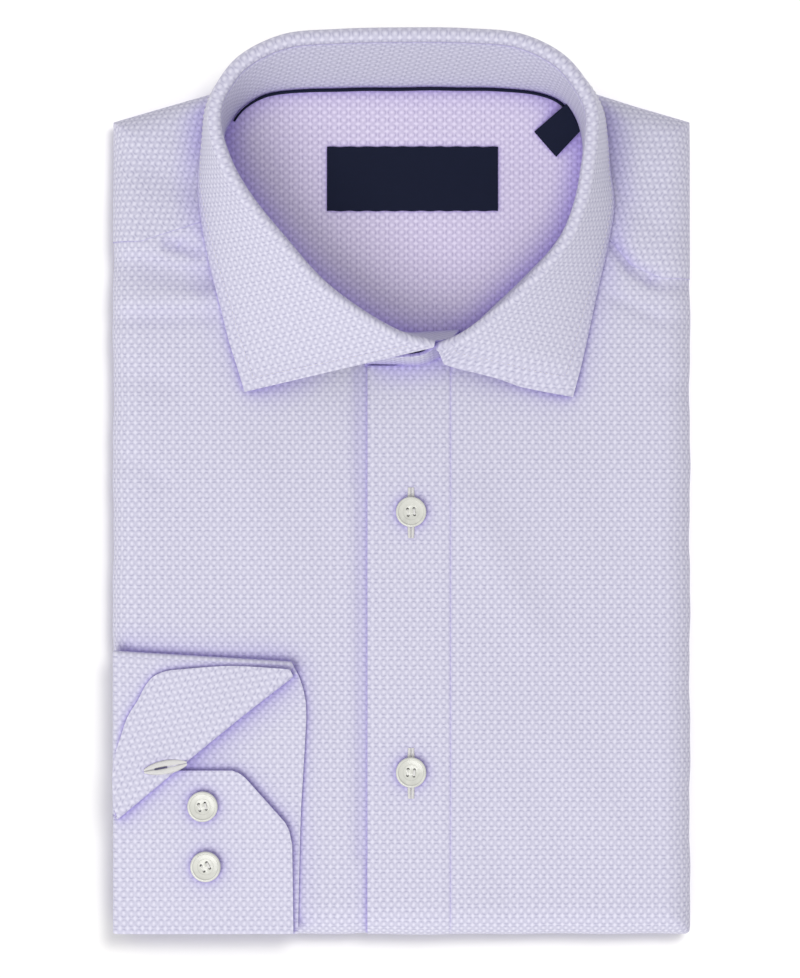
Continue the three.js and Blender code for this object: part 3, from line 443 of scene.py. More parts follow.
def round_edges(piece, width, angle):
    edge = piece.modifiers.new("edge", "BEVEL")
    edge.width = width * MM
    edge.segments = 2
    edge.limit_method = "ANGLE"
    edge.angle_limit = math.radians(angle)
    bpy.ops.object.modifier_apply(modifier="edge")


def thicken(piece, wall, offset, bevel=0.0):
    make_active(piece)
    solid = piece.modifiers.new("wall", "SOLIDIFY")
    solid.thickness = wall * MM
    solid.offset = offset
    solid.use_even_offset = False
    bpy.ops.object.modifier_apply(modifier="wall")
    if bevel:
        round_edges(piece, bevel, 50)
    bpy.ops.object.shade_smooth_by_angle(angle=math.radians(45))


def dress(piece, material, slot, *nodes):
    piece.data.materials.clear()
    piece.data.materials.append(material)
    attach(piece, "root")
    if nodes:
        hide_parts(*nodes)


def box_place(node):
    """Middle of a node's box, at its foot"""
    low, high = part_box(node)
    return (low[0] + high[0]) / 2, (low[1] + high[1]) / 2, low[2]


def grid_normals(points):
    across = np.gradient(points, axis=0)
    down = np.gradient(points, axis=1)
    return unit(np.cross(across, down))


def along_length(path):
    steps = np.linalg.norm(np.diff(path, axis=0), axis=1)
    return np.concatenate([[0], np.cumsum(steps)])


def resampled(at, run, table):
    return np.stack([np.interp(at, run, table[:, axis]) for axis in range(3)], axis=-1)


# Materials

def add_node(tree, kind, place, **values):
    node = tree.nodes.new(kind)
    node.location = place
    for name, value in values.items():
        setattr(node, name, value)
    return node


def set_inputs(node, **values):
    for label, value in values.items():
        node.inputs[label.replace("_", " ")].default_value = value


def maths(tree, operation, first, second=None, third=None):
    node = add_node(tree, "ShaderNodeMath", (0, 0), operation=operation)
    for socket, value in zip(node.inputs, (first, second, third)):
        if value is None:
            continue
        if isinstance(value, (int, float)):
            socket.default_value = value
        else:
            tree.links.new(value, socket)
    return node.outputs[0]


def noise(tree, place, source, **values):
    node = add_node(tree, "ShaderNodeTexNoise", place)
    set_inputs(node, **values)
    tree.links.new(source, node.inputs["Vector"])
    return node.outputs[0]


def two_tones(tree, factor, first, second, principled):
    """The base colour goes between two tones by a texture's value"""
    mix = add_node(tree, "ShaderNodeMix", (-400, 0), data_type="RGBA")
    tree.links.new(factor, mix.inputs["Factor"])
    mix.inputs[6].default_value = (*first, 1)
    mix.inputs[7].default_value = (*second, 1)
    tree.links.new(mix.outputs[2], principled.inputs["Base Color"])


def raised(tree, height, principled, strength, distance):
    bump = add_node(tree, "ShaderNodeBump", (-300, -300))
    set_inputs(bump, Strength=strength, Distance=distance)
    tree.links.new(height, bump.inputs["Height"])
    tree.links.new(bump.outputs[0], principled.inputs["Normal"])


def new_group(name, inputs, outputs):
    group = bpy.data.node_groups.new(name, "ShaderNodeTree")
    for label, kind, default in inputs:
        socket = group.interface.new_socket(label, in_out="INPUT", socket_type=kind)
        if default is not None:
            socket.default_value = default
    for label, kind in outputs:
        group.interface.new_socket(label, in_out="OUTPUT", socket_type=kind)
    return group, add_node(group, "NodeGroupInput", (-1200, 0)), add_node(group, "NodeGroupOutput", (1000, 0))


def ring_weave_group():
    """Small woven rings in rows, on a pale ground, with the height of the weave"""
    name = "Ring weave"
    if name in bpy.data.node_groups:
        return bpy.data.node_groups[name]
    group, start, end = new_group(
        name,
        [("Cloth", "NodeSocketVector", None), ("Ground", "NodeSocketColor", (0.7, 0.7, 0.8, 1)),
         ("Ring", "NodeSocketColor", (0.4, 0.4, 0.5, 1)), ("Strength", "NodeSocketFloat", 1.0)],
        [("Color", "NodeSocketColor"), ("Height", "NodeSocketFloat")],
    )
    sizes = bpy.context.scene.shirt_sizes
    split = add_node(group, "ShaderNodeSeparateXYZ", (-1000, 0))
    group.links.new(start.outputs["Cloth"], split.inputs[0])
    warp = noise(group, (-1000, -250), start.outputs["Cloth"], Scale=0.35, Detail=1.0)
    shake = maths(group, "MULTIPLY_ADD", warp, 0.5, -0.25)

    def cell(value, pitch, radius, shift=0.0):
        turns = maths(group, "ADD", maths(group, "DIVIDE", maths(group, "ADD", value, shake), pitch), shift)
        middle = maths(group, "SUBTRACT", turns, maths(group, "ROUND", turns))
        return maths(group, "MULTIPLY", middle, pitch / radius)

    def fade(value, start_at, end_at):
        node = add_node(group, "ShaderNodeMapRange", (200, 0), interpolation_type="SMOOTHSTEP")
        set_inputs(node, From_Min=start_at, From_Max=end_at)
        group.links.new(value, node.inputs["Value"])
        return node.outputs[0]

    def square(value):
        return maths(group, "MULTIPLY", value, value)

    across, down = sizes.ring_across / MM, sizes.ring_down / MM
    x = cell(split.outputs[0], across, 0.37 * across)
    y = cell(split.outputs[1], down, 0.345 * down)
    reach = maths(group, "SQRT", maths(group, "ADD", square(x), square(y)))
    arc = maths(group, "DIVIDE", maths(group, "ABSOLUTE", y), maths(group, "MAXIMUM", reach, 0.05))
    line = fade(maths(group, "ABSOLUTE", maths(group, "SUBTRACT", reach, 1.05)), 0.46, 0.0)
    line = maths(group, "MULTIPLY", line, maths(group, "MULTIPLY_ADD", arc, 0.8, 0.2))
    between_x = maths(group, "ABSOLUTE", cell(split.outputs[0], across, 0.39 * across, 0.5))
    between_y = maths(group, "ABSOLUTE", cell(split.outputs[1], down, 0.37 * down, 0.5))
    diamond = fade(maths(group, "ADD", between_x, between_y), 1.0, 0.3)
    dot = maths(group, "MAXIMUM", diamond, fade(reach, 0.85, 0.1))
    field = maths(group, "MULTIPLY_ADD", dot, -0.55, 0.55)
    patchy = noise(group, (-1000, -500), start.outputs["Cloth"], Scale=0.9, Detail=3.0)
    uneven = maths(group, "MULTIPLY_ADD", patchy, 1.3, 0.3)
    mask = maths(group, "MULTIPLY", maths(group, "MAXIMUM", line, field), uneven)
    mask = maths(group, "MINIMUM", maths(group, "MULTIPLY", mask, start.outputs["Strength"]), 1.0)
    mix = add_node(group, "ShaderNodeMix", (600, 0), data_type="RGBA")
    group.links.new(mask, mix.inputs["Factor"])
    group.links.new(start.outputs["Ground"], mix.inputs[6])
    group.links.new(start.outputs["Ring"], mix.inputs[7])
    group.links.new(mix.outputs[2], end.inputs["Color"])
    waves = 2 * math.pi / (sizes.thread_pitch / MM)
    threads = [maths(group, "SINE", maths(group, "MULTIPLY", split.outputs[k], waves)) for k in (0, 1)]
    grain = maths(group, "MULTIPLY", threads[0], threads[1])
    height = maths(group, "MULTIPLY_ADD", grain, 0.25, maths(group, "MULTIPLY", mask, -0.6))
    group.links.new(height, end.inputs["Height"])
    return group


def shader(name, roughness, **sockets):
    material = bpy.data.materials.new(name)
    material.use_nodes = True
    principled = material.node_tree.nodes["Principled BSDF"]
    set_inputs(principled, Roughness=roughness, **sockets)
    return material, material.node_tree, principled


def shirting(name, ground, ring, strength=1.0):
    """Cotton shirting with the ring weave, laid out by the cloth map, with painted violet shade where folds
    and neighbouring parts close it in
    """
    if name in bpy.data.materials:
        return bpy.data.materials[name]
    material, tree, principled = shader(name, 0.85, Sheen_Weight=0.05, Sheen_Roughness=0.5,
                                        Specular_IOR_Level=0.25)
    place = add_node(tree, "ShaderNodeUVMap", (-900, 0), uv_map="cloth")
    weave = add_node(tree, "ShaderNodeGroup", (-600, 0), node_tree=ring_weave_group())
    set_inputs(weave, Ground=(*ground, 1), Ring=(*ring, 1), Strength=strength)
    tree.links.new(place.outputs[0], weave.inputs["Cloth"])
    # Painted shade: ambient occlusion mixes the painted shade colour into the base colour, so the cloth turns
    # darker and violet in folds, under edges and between parts
    shade_occlusion = add_node(tree, "ShaderNodeAmbientOcclusion", (-600, -500))
    shade_occlusion.samples = 6
    set_inputs(shade_occlusion, Distance=0.013)
    depth = add_node(tree, "ShaderNodeMapRange", (-400, -500))
    set_inputs(depth, From_Min=0.98, From_Max=0.50)
    tree.links.new(shade_occlusion.outputs["AO"], depth.inputs["Value"])
    painted_shade = add_node(tree, "ShaderNodeMix", (-200, 0), data_type="RGBA", blend_type="MULTIPLY")
    tree.links.new(depth.outputs[0], painted_shade.inputs["Factor"])
    tree.links.new(weave.outputs["Color"], painted_shade.inputs[6])
    painted_shade.inputs[7].default_value = (*bpy.context.scene.shirt_colours.painted_shade, 1)
    tree.links.new(painted_shade.outputs[2], principled.inputs["Base Color"])
    raised(tree, weave.outputs["Height"], principled, 0.35, 0.00012)
    return material


def navy_weave():
    name = "Navy satin weave"
    if name in bpy.data.materials:
        return bpy.data.materials[name]
    navy = bpy.context.scene.shirt_colours.navy
    material, tree, principled = shader(name, 0.8, Sheen_Weight=0.02, Sheen_Roughness=0.4,
                                        Specular_IOR_Level=0.12)
    place = add_node(tree, "ShaderNodeUVMap", (-1100, 0), uv_map="cloth")
    ribs = add_node(tree, "ShaderNodeTexWave", (-800, 0), wave_type="BANDS", bands_direction="Y")
    set_inputs(ribs, Scale=0.9, Distortion=1.2, Detail=3.0)
    tree.links.new(place.outputs[0], ribs.inputs["Vector"])
    dark, light = ([share * value for value in navy] for share in (0.75, 1.3))
    two_tones(tree, ribs.outputs[1], dark, light, principled)
    raised(tree, ribs.outputs[1], principled, 0.4, 0.00015)
    return material


def pearl():
    name = "Cream pearl"
    if name in bpy.data.materials:
        return bpy.data.materials[name]
    cream = bpy.context.scene.shirt_colours.pearl
    material, tree, principled = shader(name, 0.28, Coat_Weight=0.35, Coat_Roughness=0.12,
                                        Specular_IOR_Level=0.55)
    place = add_node(tree, "ShaderNodeTexCoord", (-1100, 0))
    clouds = noise(tree, (-850, 0), place.outputs["Object"], Scale=170.0, Detail=4.0, Distortion=1.5)
    two_tones(tree, clouds, [0.62 * value for value in cream], cream, principled)
    return material


def cotton_thread():
    name = "Sewing thread"
    if name in bpy.data.materials:
        return bpy.data.materials[name]
    thread = bpy.context.scene.shirt_colours.thread
    material, tree, principled = shader(name, 0.6, Sheen_Weight=0.15)
    place = add_node(tree, "ShaderNodeTexCoord", (-1100, 0))
    twist = noise(tree, (-850, 0), place.outputs["Object"], Scale=4200.0)
    two_tones(tree, twist, [0.85 * value for value in thread], thread, principled)
    return material


def painted_slit_shade_material():
    """Painted shade: dark violet for the tube laid in a buttonhole's slit, standing in for the shade inside
    it
    """
    material, tree, principled = shader("Buttonhole opening", 0.9, Specular_IOR_Level=0.1)
    place = add_node(tree, "ShaderNodeTexCoord", (-700, 0))
    shade_mottle = noise(tree, (-500, 0), place.outputs["Object"], Scale=900.0)
    two_tones(tree, shade_mottle, (0.05, 0.045, 0.10), (0.12, 0.11, 0.20), principled)
    return material


def shirt_cloth():
    colours = bpy.context.scene.shirt_colours
    return shirting("Shirt cotton", colours.ground, colours.ring)


def inside_cloth():
    colours = bpy.context.scene.shirt_colours
    return shirting("Inside yoke cotton", colours.inside_ground, colours.inside_ring)


def collar_cloth():
    colours = bpy.context.scene.shirt_colours
    return shirting("Fused collar cotton", colours.ground, colours.ring, 0.95)


# Settings

def length_of(name, description, default):
    return FloatProperty(name=name, description=description, default=default, unit="LENGTH", min=0,
                         precision=5)


def power_of(name, description, default):
    return FloatProperty(name=name, description=description, default=default)


def colour_of(name, description, default):
    return FloatVectorProperty(name=name, description=description, default=default, subtype="COLOR",
                               min=0, max=1)


class ShirtSizes(bpy.types.PropertyGroup):
    panel_wall: length_of("Panel wall", "Thickness of a body panel with its seam allowances", 0.0011)
    collar_wall: length_of("Collar wall", "Thickness of the fused collar leaf", 0.0013)
    ring_across: length_of("Ring across", "Repeat of the woven rings across the cloth", 0.00305)
    ring_down: length_of("Ring down", "Repeat of the woven rings along the cloth", 0.00393)
    thread_pitch: length_of("Thread pitch", "Distance between the woven threads", 0.0006)
    stitch_pitch: length_of("Stitch pitch", "Distance between the starts of two stitches", 0.0024)
    stitch_inset: length_of("Stitch inset", "Distance of the top stitching from the collar's edge", 0.0055)
    thread_radius: length_of("Thread radius", "Half the thickness of the sewing thread", 0.00016)


class ShirtColours(bpy.types.PropertyGroup):
    ground: colour_of("Ground", "Pale ground of the shirting", (0.655, 0.652, 0.745))
    ring: colour_of("Rings", "Lavender grey of the woven rings", (0.385, 0.380, 0.500))
    inside_ground: colour_of("Inside ground", "Ground of the inner yoke", (0.735, 0.685, 0.83))
    inside_ring: colour_of("Inside rings", "Rings of the inner yoke", (0.44, 0.39, 0.565))
    # Painted shade: the violet multiplied into the cloth's colour where ambient occlusion finds it closed in
    # by folds, edges and neighbouring parts
    painted_shade: colour_of("Shade", "Violet that the cloth takes on deep in its folds", (0.68, 0.60, 1.0))
    navy: colour_of("Navy", "Woven labels and neck tape", (0.0075, 0.0105, 0.0270))
    pearl: colour_of("Pearl", "Buttons", (0.70, 0.715, 0.64))
    thread: colour_of("Thread", "Sewing thread and buttonholes", (0.69, 0.69, 0.665))


class ShirtStage(bpy.types.PropertyGroup):
    camera_height: length_of("Camera height", "Height of the camera over the shirt's top face", 1.575)
    seen_length: length_of("Seen length", "Length that fits the picture's height at the top face", 0.398)
    key_power: power_of("Key power", "Power of the soft key light, in watts", 16.8)
    floor_power: power_of("Floor power", "Power of the light on the floor, in watts", 40.0)
    sky: power_of("Sky", "Strength of the even light all round", 0.78)
    floor: colour_of("Floor", "Pale floor", (0.95, 0.96, 0.925))


# Operators

class ShirtStep:
    bl_options = {"REGISTER", "UNDO"}

    @property
    def sizes(self):
        return bpy.context.scene.shirt_sizes

    @property
    def panel(self):
        return self.sizes.panel_wall / MM

    @property
    def leaf_wall(self):
        return self.sizes.collar_wall / MM


class SHIRT_OT_fronts(ShirtStep, bpy.types.Operator):
    """Make both front panels and the placket"""
    bl_idname = "shirt.fronts"
    bl_label = "Fronts and placket"

    # Where the panels' tops meet the outer face of the band at the front: x, y
    band_face = np.array([(-21, 51.5), (-15, 51.2), (-14, 48.9), (-3, 48.9), (8, 49.9), (13, 51.3),
                          (17.5, 52.9), (20.2, 55.4)])
    rows = 150
    corner = 11

    def panel_rows(self, x_from, x_to, columns, tops, rise, left=False, lap=0.0):
        """Rows of points over the flat top, down the folded foot and, past the flat side, down that side.
        The last lap millimetres at the top dip under the neighbouring piece. The left panel has a notch
        under the placket and one beside the sleeve."""
        p = np.linspace(x_from, x_to, columns)
        flat_x = np.clip(p, -FLAT_SIDE, FLAT_SIDE)
        top = tops(flat_x)
        lift = rise(flat_x)
        notch = PLACKET_NOTCH * smooth(PLACKET_LEFT - 7, PLACKET_LEFT - 1, flat_x)
        foot = BOTTOM_EDGE + EDGE_ROLL + left * notch
        roll = edge_length(EDGE_ROLL, BODY_HEIGHT + lift)
        v = np.linspace(0, 1, self.rows)[None, :]
        q = lerp((foot - roll)[:, None], top[:, None], v)
        p_grid = np.repeat(p[:, None], self.rows, axis=1)
        over_x = np.abs(p_grid) - FLAT_SIDE
        over_y = foot[:, None] - q
        ox, oy = np.maximum(over_x, 0), np.maximum(over_y, 0)
        over = (ox ** self.corner + oy ** self.corner) ** (1 / self.corner)
        x = np.clip(p_grid, -FLAT_SIDE, FLAT_SIDE)
        y = np.maximum(q, foot[:, None])
        height = front_height(x, y) + lift[:, None]
        if lap:
            height = height - LAP_DIP * smooth(lap + 0.25, lap - 0.35, top[:, None] - q)
        out, z = edge_profile(over, EDGE_ROLL, height)
        out = out * EDGE_BULGE
        wobble = 0.22 * np.sin(0.11 * y + 0.6) + 0.12 * np.sin(0.31 * y + 2 * x) - 0.1
        share_x, share_y = ox / np.maximum(over, 1e-9), oy / np.maximum(over, 1e-9)
        x = x + np.sign(p_grid) * share_x * (out + wobble * smooth(0, 6, over))
        y = y - share_y * (out + (0.3 + 0.15 * np.sin(0.17 * x)) * smooth(0, 6, over))
        if left:
            beside = smooth(-70, -76, y) * (1 - smooth(-FLAT_SIDE, -88, x))
            x = x + SLEEVE_NOTCH * beside
        return np.stack([x, y, z], axis=-1), np.stack([p_grid, q], axis=-1)

    def execute(self, context):
        side_roll = edge_length(EDGE_ROLL, BODY_HEIGHT)

        def left_top(x):
            neck = np.where(x < -64, np.inf, neckline_at(x, -1))
            middle = np.where(x > PLACKET_LEFT - 7, np.interp(x, *self.band_face.T), np.inf)
            return np.minimum(np.minimum(seam_at(LEFT_YOKE_SEAM, x) + SEAM_LAP, neck), middle)

        points, cloth = self.panel_rows(-FLAT_SIDE - side_roll, BUTTON_STAND_EDGE, 110, left_top,
                                        np.zeros_like, left=True, lap=SEAM_LAP)
        left = grid_piece("front_button_cloth", points, cloth)
        thicken(left, self.panel, -1)
        dress(left, shirt_cloth(), "shirt_cloth", "front_button_side")

        def right_top(x):
            neck = np.where(x > 77, np.inf, neckline_at(x, 1))
            return np.minimum(seam_at(RIGHT_YOKE_SEAM, x) + SEAM_LAP, neck)

        def right_rise(x):
            blend = PLACKET_RISE * (1 - smooth(PLACKET_RIGHT, PLACKET_RIGHT + PLACKET_BLEND, x))
            return blend - 0.9 * smooth(PLACKET_RIGHT + 0.5, PLACKET_RIGHT - 0.6, x)

        points, cloth = self.panel_rows(PLACKET_RIGHT - 1.5, FLAT_SIDE + side_roll, 150, right_top,
                                        right_rise, lap=SEAM_LAP)
        right = grid_piece("front_placket_cloth", points, cloth)
        thicken(right, self.panel, -1)
        dress(right, shirt_cloth(), "shirt_cloth", "front_placket_side")

        def strip_top(x):
            return np.interp(x, *self.band_face.T)

        def strip_rise(x):
            edge = np.minimum(x - PLACKET_LEFT, PLACKET_RIGHT - x)
            return PLACKET_RISE - 0.45 * smooth(1.5, 0, edge) + 0.12 * smooth(0, 4, edge)

        points, cloth = self.panel_rows(PLACKET_LEFT, PLACKET_RIGHT, 60, strip_top, strip_rise)
        cloth = cloth + np.array([1.1, 1.4])
        strip = grid_piece("placket_cloth", points, cloth)
        thicken(strip, self.panel, -1, bevel=0.25)
        dress(strip, shirt_cloth(), "shirt_cloth", "placket")
        return {"FINISHED"}


class SHIRT_OT_yoke(ShirtStep, bpy.types.Operator):
    """Make the yoke over the shoulders and its lining inside the neck"""
    bl_idname = "shirt.yoke"
    bl_label = "Yoke and lining"
    parts = 9
    inward_rows = 34
    roll_rows = 18
    grain_slant = math.radians(37)

    def outline(self):
        """At each row: the flat outline, the roll's radius, the way out, and the place along the neck"""
        xy = YOKE_OUTLINE[:, :2]
        steps = np.diff(xy, axis=0)
        normals = unit(np.stack([-steps[:, 1], steps[:, 0]], axis=1))
        out = mitred(np.vstack([normals[:1], normals]), np.vstack([normals, normals[-1:]]))
        flat = xy - out * YOKE_OUTLINE[:, 2:3]
        share = np.arange((len(xy) - 1) * self.parts + 1) / self.parts
        k = np.minimum(share.astype(int), len(xy) - 2)
        t = (share - k)[:, None]
        table = np.hstack([flat, YOKE_OUTLINE[:, 2:], out])
        mixed = lerp(table[k], table[k + 1], t)
        return mixed[:, :2], mixed[:, 2], mixed[:, 4:6], mixed[:, 3]

    def seam_parameter(self, seam, start, end):
        t = np.linspace(start, end, 300)
        points = neckline(t)
        past = points[:, 1] >= seam_at(seam, points[:, 0])
        return t[np.argmax(past)]

    def execute(self, context):
        outer, radius, out, neck = self.outline()
        count = len(outer)
        t_from = self.seam_parameter(LEFT_YOKE_SEAM, 0, 0.4)
        t_to = self.seam_parameter(RIGHT_YOKE_SEAM, 1, 0.6)
        inner = neckline(lerp(t_from, t_to, neck))[:, :2]
        v = np.linspace(0, 1, self.inward_rows)[None, :, None]
        flat = lerp(inner[:, None], outer[:, None], v)
        fade = 2 * self.parts
        for end, seam, way in ((0, LEFT_YOKE_SEAM, 1), (count - 1, RIGHT_YOKE_SEAM, -1)):
            bend = seam_at(seam, flat[end][:, 0]) + SEAM_GAP / 2 - flat[end][:, 1]
            for k in range(fade):
                flat[end + way * k][:, 1] += bend * (1 - k / fade) ** 2
        top = front_height(flat[..., 0], flat[..., 1])
        length = edge_length(radius, top[:, -1])
        s = np.linspace(0, 1, self.roll_rows + 1)[None, 1:] * length[:, None]
        reach, z = edge_profile(s, radius[:, None], top[:, -1:])
        edge_xy = outer[:, None] + out[:, None] * reach[..., None] * EDGE_BULGE
        points = np.concatenate([with_height(flat, top), with_height(edge_xy, z)], axis=1)
        laid = np.concatenate([flat, outer[:, None] + out[:, None] * s[..., None]], axis=1)
        side = np.where(points[..., 0] < 0, 1.0, -1.0)
        sine, cosine = math.sin(self.grain_slant), math.cos(self.grain_slant)
        along = laid[..., 0] * side * cosine + laid[..., 1] * sine
        across = -laid[..., 0] * side * sine + laid[..., 1] * cosine
        yoke = grid_piece("yoke_cloth", points, np.stack([across, along], axis=-1))
        thicken(yoke, self.panel, -1)
        dress(yoke, shirt_cloth(), "shirt_cloth", "yoke")
        self.lining()
        return {"FINISHED"}

    def lining(self):
        cells = 70
        share = np.arange(cells + 1) / cells
        past_foot = 0.2

        def ring(t):
            return (band_foot(t) + band_outward(t) * past_foot)[:, :2]

        left, back = ring(lerp(0.05, 0.27, share)), ring(lerp(0.27, 0.67, share))
        right = ring(lerp(0.67, 0.88, share))[::-1]
        front = lerp(left[:1], right[:1], share[:, None])
        u, v = share[:, None, None], share[None, :, None]
        corners = lerp(lerp(left[0], right[0], u), lerp(left[-1], right[-1], u), v)
        xy = lerp(left[None], right[None], u) + lerp(front[:, None], back[:, None], v) - corners
        points = with_height(xy, lining_top(xy[..., 0], xy[..., 1]))
        lining = grid_piece("yoke_lining_cloth", points, xy[..., ::-1].copy())
        thicken(lining, self.panel, -1)
        dress(lining, inside_cloth(), "inside_cloth", "yoke_lining")


class SHIRT_OT_folded_layers(ShirtStep, bpy.types.Operator):
    """Make the hidden layers: one soft stack with its turned edges showing at the sides"""
    bl_idname = "shirt.folded_layers"
    bl_label = "Folded layers"

    # Inset from the outline, and height over the floor
    side = np.array([
        (7.0, 0.0), (2.8, 0.0), (1.6, 0.15), (1.15, 0.6), (1.2, 1.1), (1.9, 1.45), (3.0, 1.6), (2.0, 1.75),
        (1.55, 2.1), (1.6, 2.5), (2.1, 2.85), (4.0, 3.05), (6.2, 3.1), (5.4, 3.9), (4.9, 4.9), (4.5, 5.2),
        (5.2, 5.7), (4.0, 7.2), (2.9, 8.6), (2.3, 9.6), (2.4, 11.2), (2.8, 12.6), (4.8, 18.0), (11.2, 20.9),
    ])
    # Corners of the outline: x, y, and the number of parts to the next one
    corners = np.array([
        (-HALF_WIDTH + SLEEVE_NOTCH, BOTTOM_EDGE, 24), (-25, BOTTOM_EDGE, 2),
        (-20, BOTTOM_EDGE + PLACKET_NOTCH, 6), (8, BOTTOM_EDGE + PLACKET_NOTCH, 2), (14, BOTTOM_EDGE, 24),
        (HALF_WIDTH, BOTTOM_EDGE, 70), (HALF_WIDTH, SIDE_CORNER - 1, 10), (76, 160.2, 8), (40, 168.4, 16),
        (-40, 168.2, 8), (-76, 160, 10), (-HALF_WIDTH, SIDE_CORNER - 1, 45), (-HALF_WIDTH, -62, 3),
        (-HALF_WIDTH + SLEEVE_NOTCH, -70, 24),
    ])
    middle = np.array([0, -20.0])
    under_panels = 2.6
    neck_floor = 13.2

    def execute(self, context):
        outline = []
        for (x, y, parts), (nx, ny, _) in zip(self.corners, np.roll(self.corners, -1, axis=0)):
            for part in range(int(parts)):
                outline.append((lerp(x, nx, part / parts), lerp(y, ny, part / parts)))
        outline = np.array(outline)
        before, after = np.roll(outline, 1, axis=0), np.roll(outline, -1, axis=0)
        first = unit(np.stack([before[:, 1] - outline[:, 1], outline[:, 0] - before[:, 0]], axis=1))
        second = unit(np.stack([outline[:, 1] - after[:, 1], after[:, 0] - outline[:, 0]], axis=1))
        inward = mitred(first, second)
        around = np.arange(len(outline))
        rings = []
        for inset, height in self.side:
            fade = smooth(0.1, 1.2, height) * smooth(9, 6, height)
            waver = 0.3 * np.sin(around * 0.21 + height * 1.3) * fade
            xy = outline + inward * (inset + waver)[:, None]
            rings.append(np.column_stack([xy, np.minimum(height, self.top(xy[:, 0], xy[:, 1]))]))
        last = outline + inward * self.side[-1, 0]
        for share in np.linspace(1, 0.05, 22)[1:]:
            xy = lerp(self.middle, last, share)
            rings.append(np.column_stack([xy, self.top(xy[:, 0], xy[:, 1])]))
        points = np.array(rings)
        levels, count = points.shape[:2]
        index = np.arange(levels * count).reshape(levels, count)
        following = np.roll(index, -1, axis=1)
        quads = np.stack([index[:-1], following[:-1], following[1:], index[1:]], axis=-1)
        faces = quads.reshape(-1, 4).tolist()
        faces.append(index[0][::-1].tolist())
        faces.append(index[-1].tolist())
        cloth = points[..., :2] + 0.7 * points[..., 2:3]
        piece = mesh_piece("folded_cloth", points.reshape(-1, 3), faces, cloth.reshape(-1, 2))
        make_active(piece)
        bpy.ops.object.shade_smooth_by_angle(angle=math.radians(60))
        dress(piece, shirt_cloth(), "shirt_cloth", "folded_layers")
        return {"FINISHED"}

    def top(self, x, y):
        full = front_height(x, y) - self.under_panels
        return lerp(self.neck_floor, full, smooth(1.22, 1.45, neck_reach(x, y)))


class SHIRT_OT_collar(ShirtStep, bpy.types.Operator):
    """Make the collar band, the leaf that turns over it, and the tape on the neck seam"""
    bl_idname = "shirt.collar"
    bl_label = "Collar"
    stations = 330
    band_lines = 14

    def execute(self, context):
        t = np.linspace(0, 1, self.stations)
        foot, top = band_foot(t), band_top(t)
        share = np.linspace(0, 1, self.band_lines)
        points = lerp(foot[:, None], top[:, None], share[None, :, None])
        flat_foot, flat_top = unrolled(foot, top, self.stations // 2)
        laid = lerp(flat_foot[:, None], flat_top[:, None], share[None, :, None])
        band = grid_piece("collar_band_cloth", points, laid[..., ::-1].copy())
        thicken(band, BAND_WALL, 0, bevel=0.35)
        dress(band, collar_cloth(), "collar_cloth", "collar_band")
        leaf = self.leaf(t)
        self.tape()
        return {"FINISHED"}

    def leaf(self, t):
        points, crest_line = leaf_lines(t)
        middle = self.stations // 2
        flat_crest, flat_edge = unrolled(points[:, crest_line], points[:, -1], middle)
        steps = np.linalg.norm(np.diff(points, axis=1), axis=2)
        run = np.concatenate([np.zeros((len(t), 1)), np.cumsum(steps, axis=1)], axis=1)
        run = run - run[:, crest_line:crest_line + 1]
        chord = np.linalg.norm(flat_edge - flat_crest, axis=1)
        scale = np.where(run > 0, (chord / run[:, -1])[:, None], 1.0)
        laid = flat_crest[:, None] + unit(flat_edge - flat_crest)[:, None] * (run * scale)[..., None]
        leaf = grid_piece("collar_leaf_cloth", points, laid[..., ::-1].copy())
        thicken(leaf, self.leaf_wall, 0, bevel=0.35)
        dress(leaf, collar_cloth(), "collar_cloth", "collar_leaf")
        return leaf

    def tape(self):
        t = np.linspace(0.3, 0.625, 160)
        foot, top = band_foot(t), band_top(t)
        rise = unit(top - foot)
        inward = unit(np.cross(spline_tangent(BAND_ROWS[:, FOOT], t), rise))
        inward = inward * np.where(inward[:, 1:2] > 0, -1, 1)
        thickness, low, across = 0.9, 0.5, 5
        tall = 0.3 + 1.05 * (smooth(0.335, 0.365, t) * smooth(0.625, 0.605, t))[:, None]
        base = foot + inward * (BAND_WALL / 2 + SEAM_GAP + thickness / 2)
        run = along_length(foot)
        wave = 0.16 * np.sin(run * 0.24)[:, None]
        bulge = np.sin(np.linspace(0, math.pi, across)) * 0.25
        lines = [base + rise * (low + tall * k / 4 + wave) + inward * bulge[k] for k in range(across)]
        laid = np.stack(np.meshgrid(run, np.linspace(0, 1.5, across), indexing="ij"), axis=-1)
        tape = grid_piece("neck_tape_cloth", np.stack(lines, axis=1), laid)
        thicken(tape, thickness, 0, bevel=0.2)
        dress(tape, navy_weave(), "navy_cloth", "neck_tape")


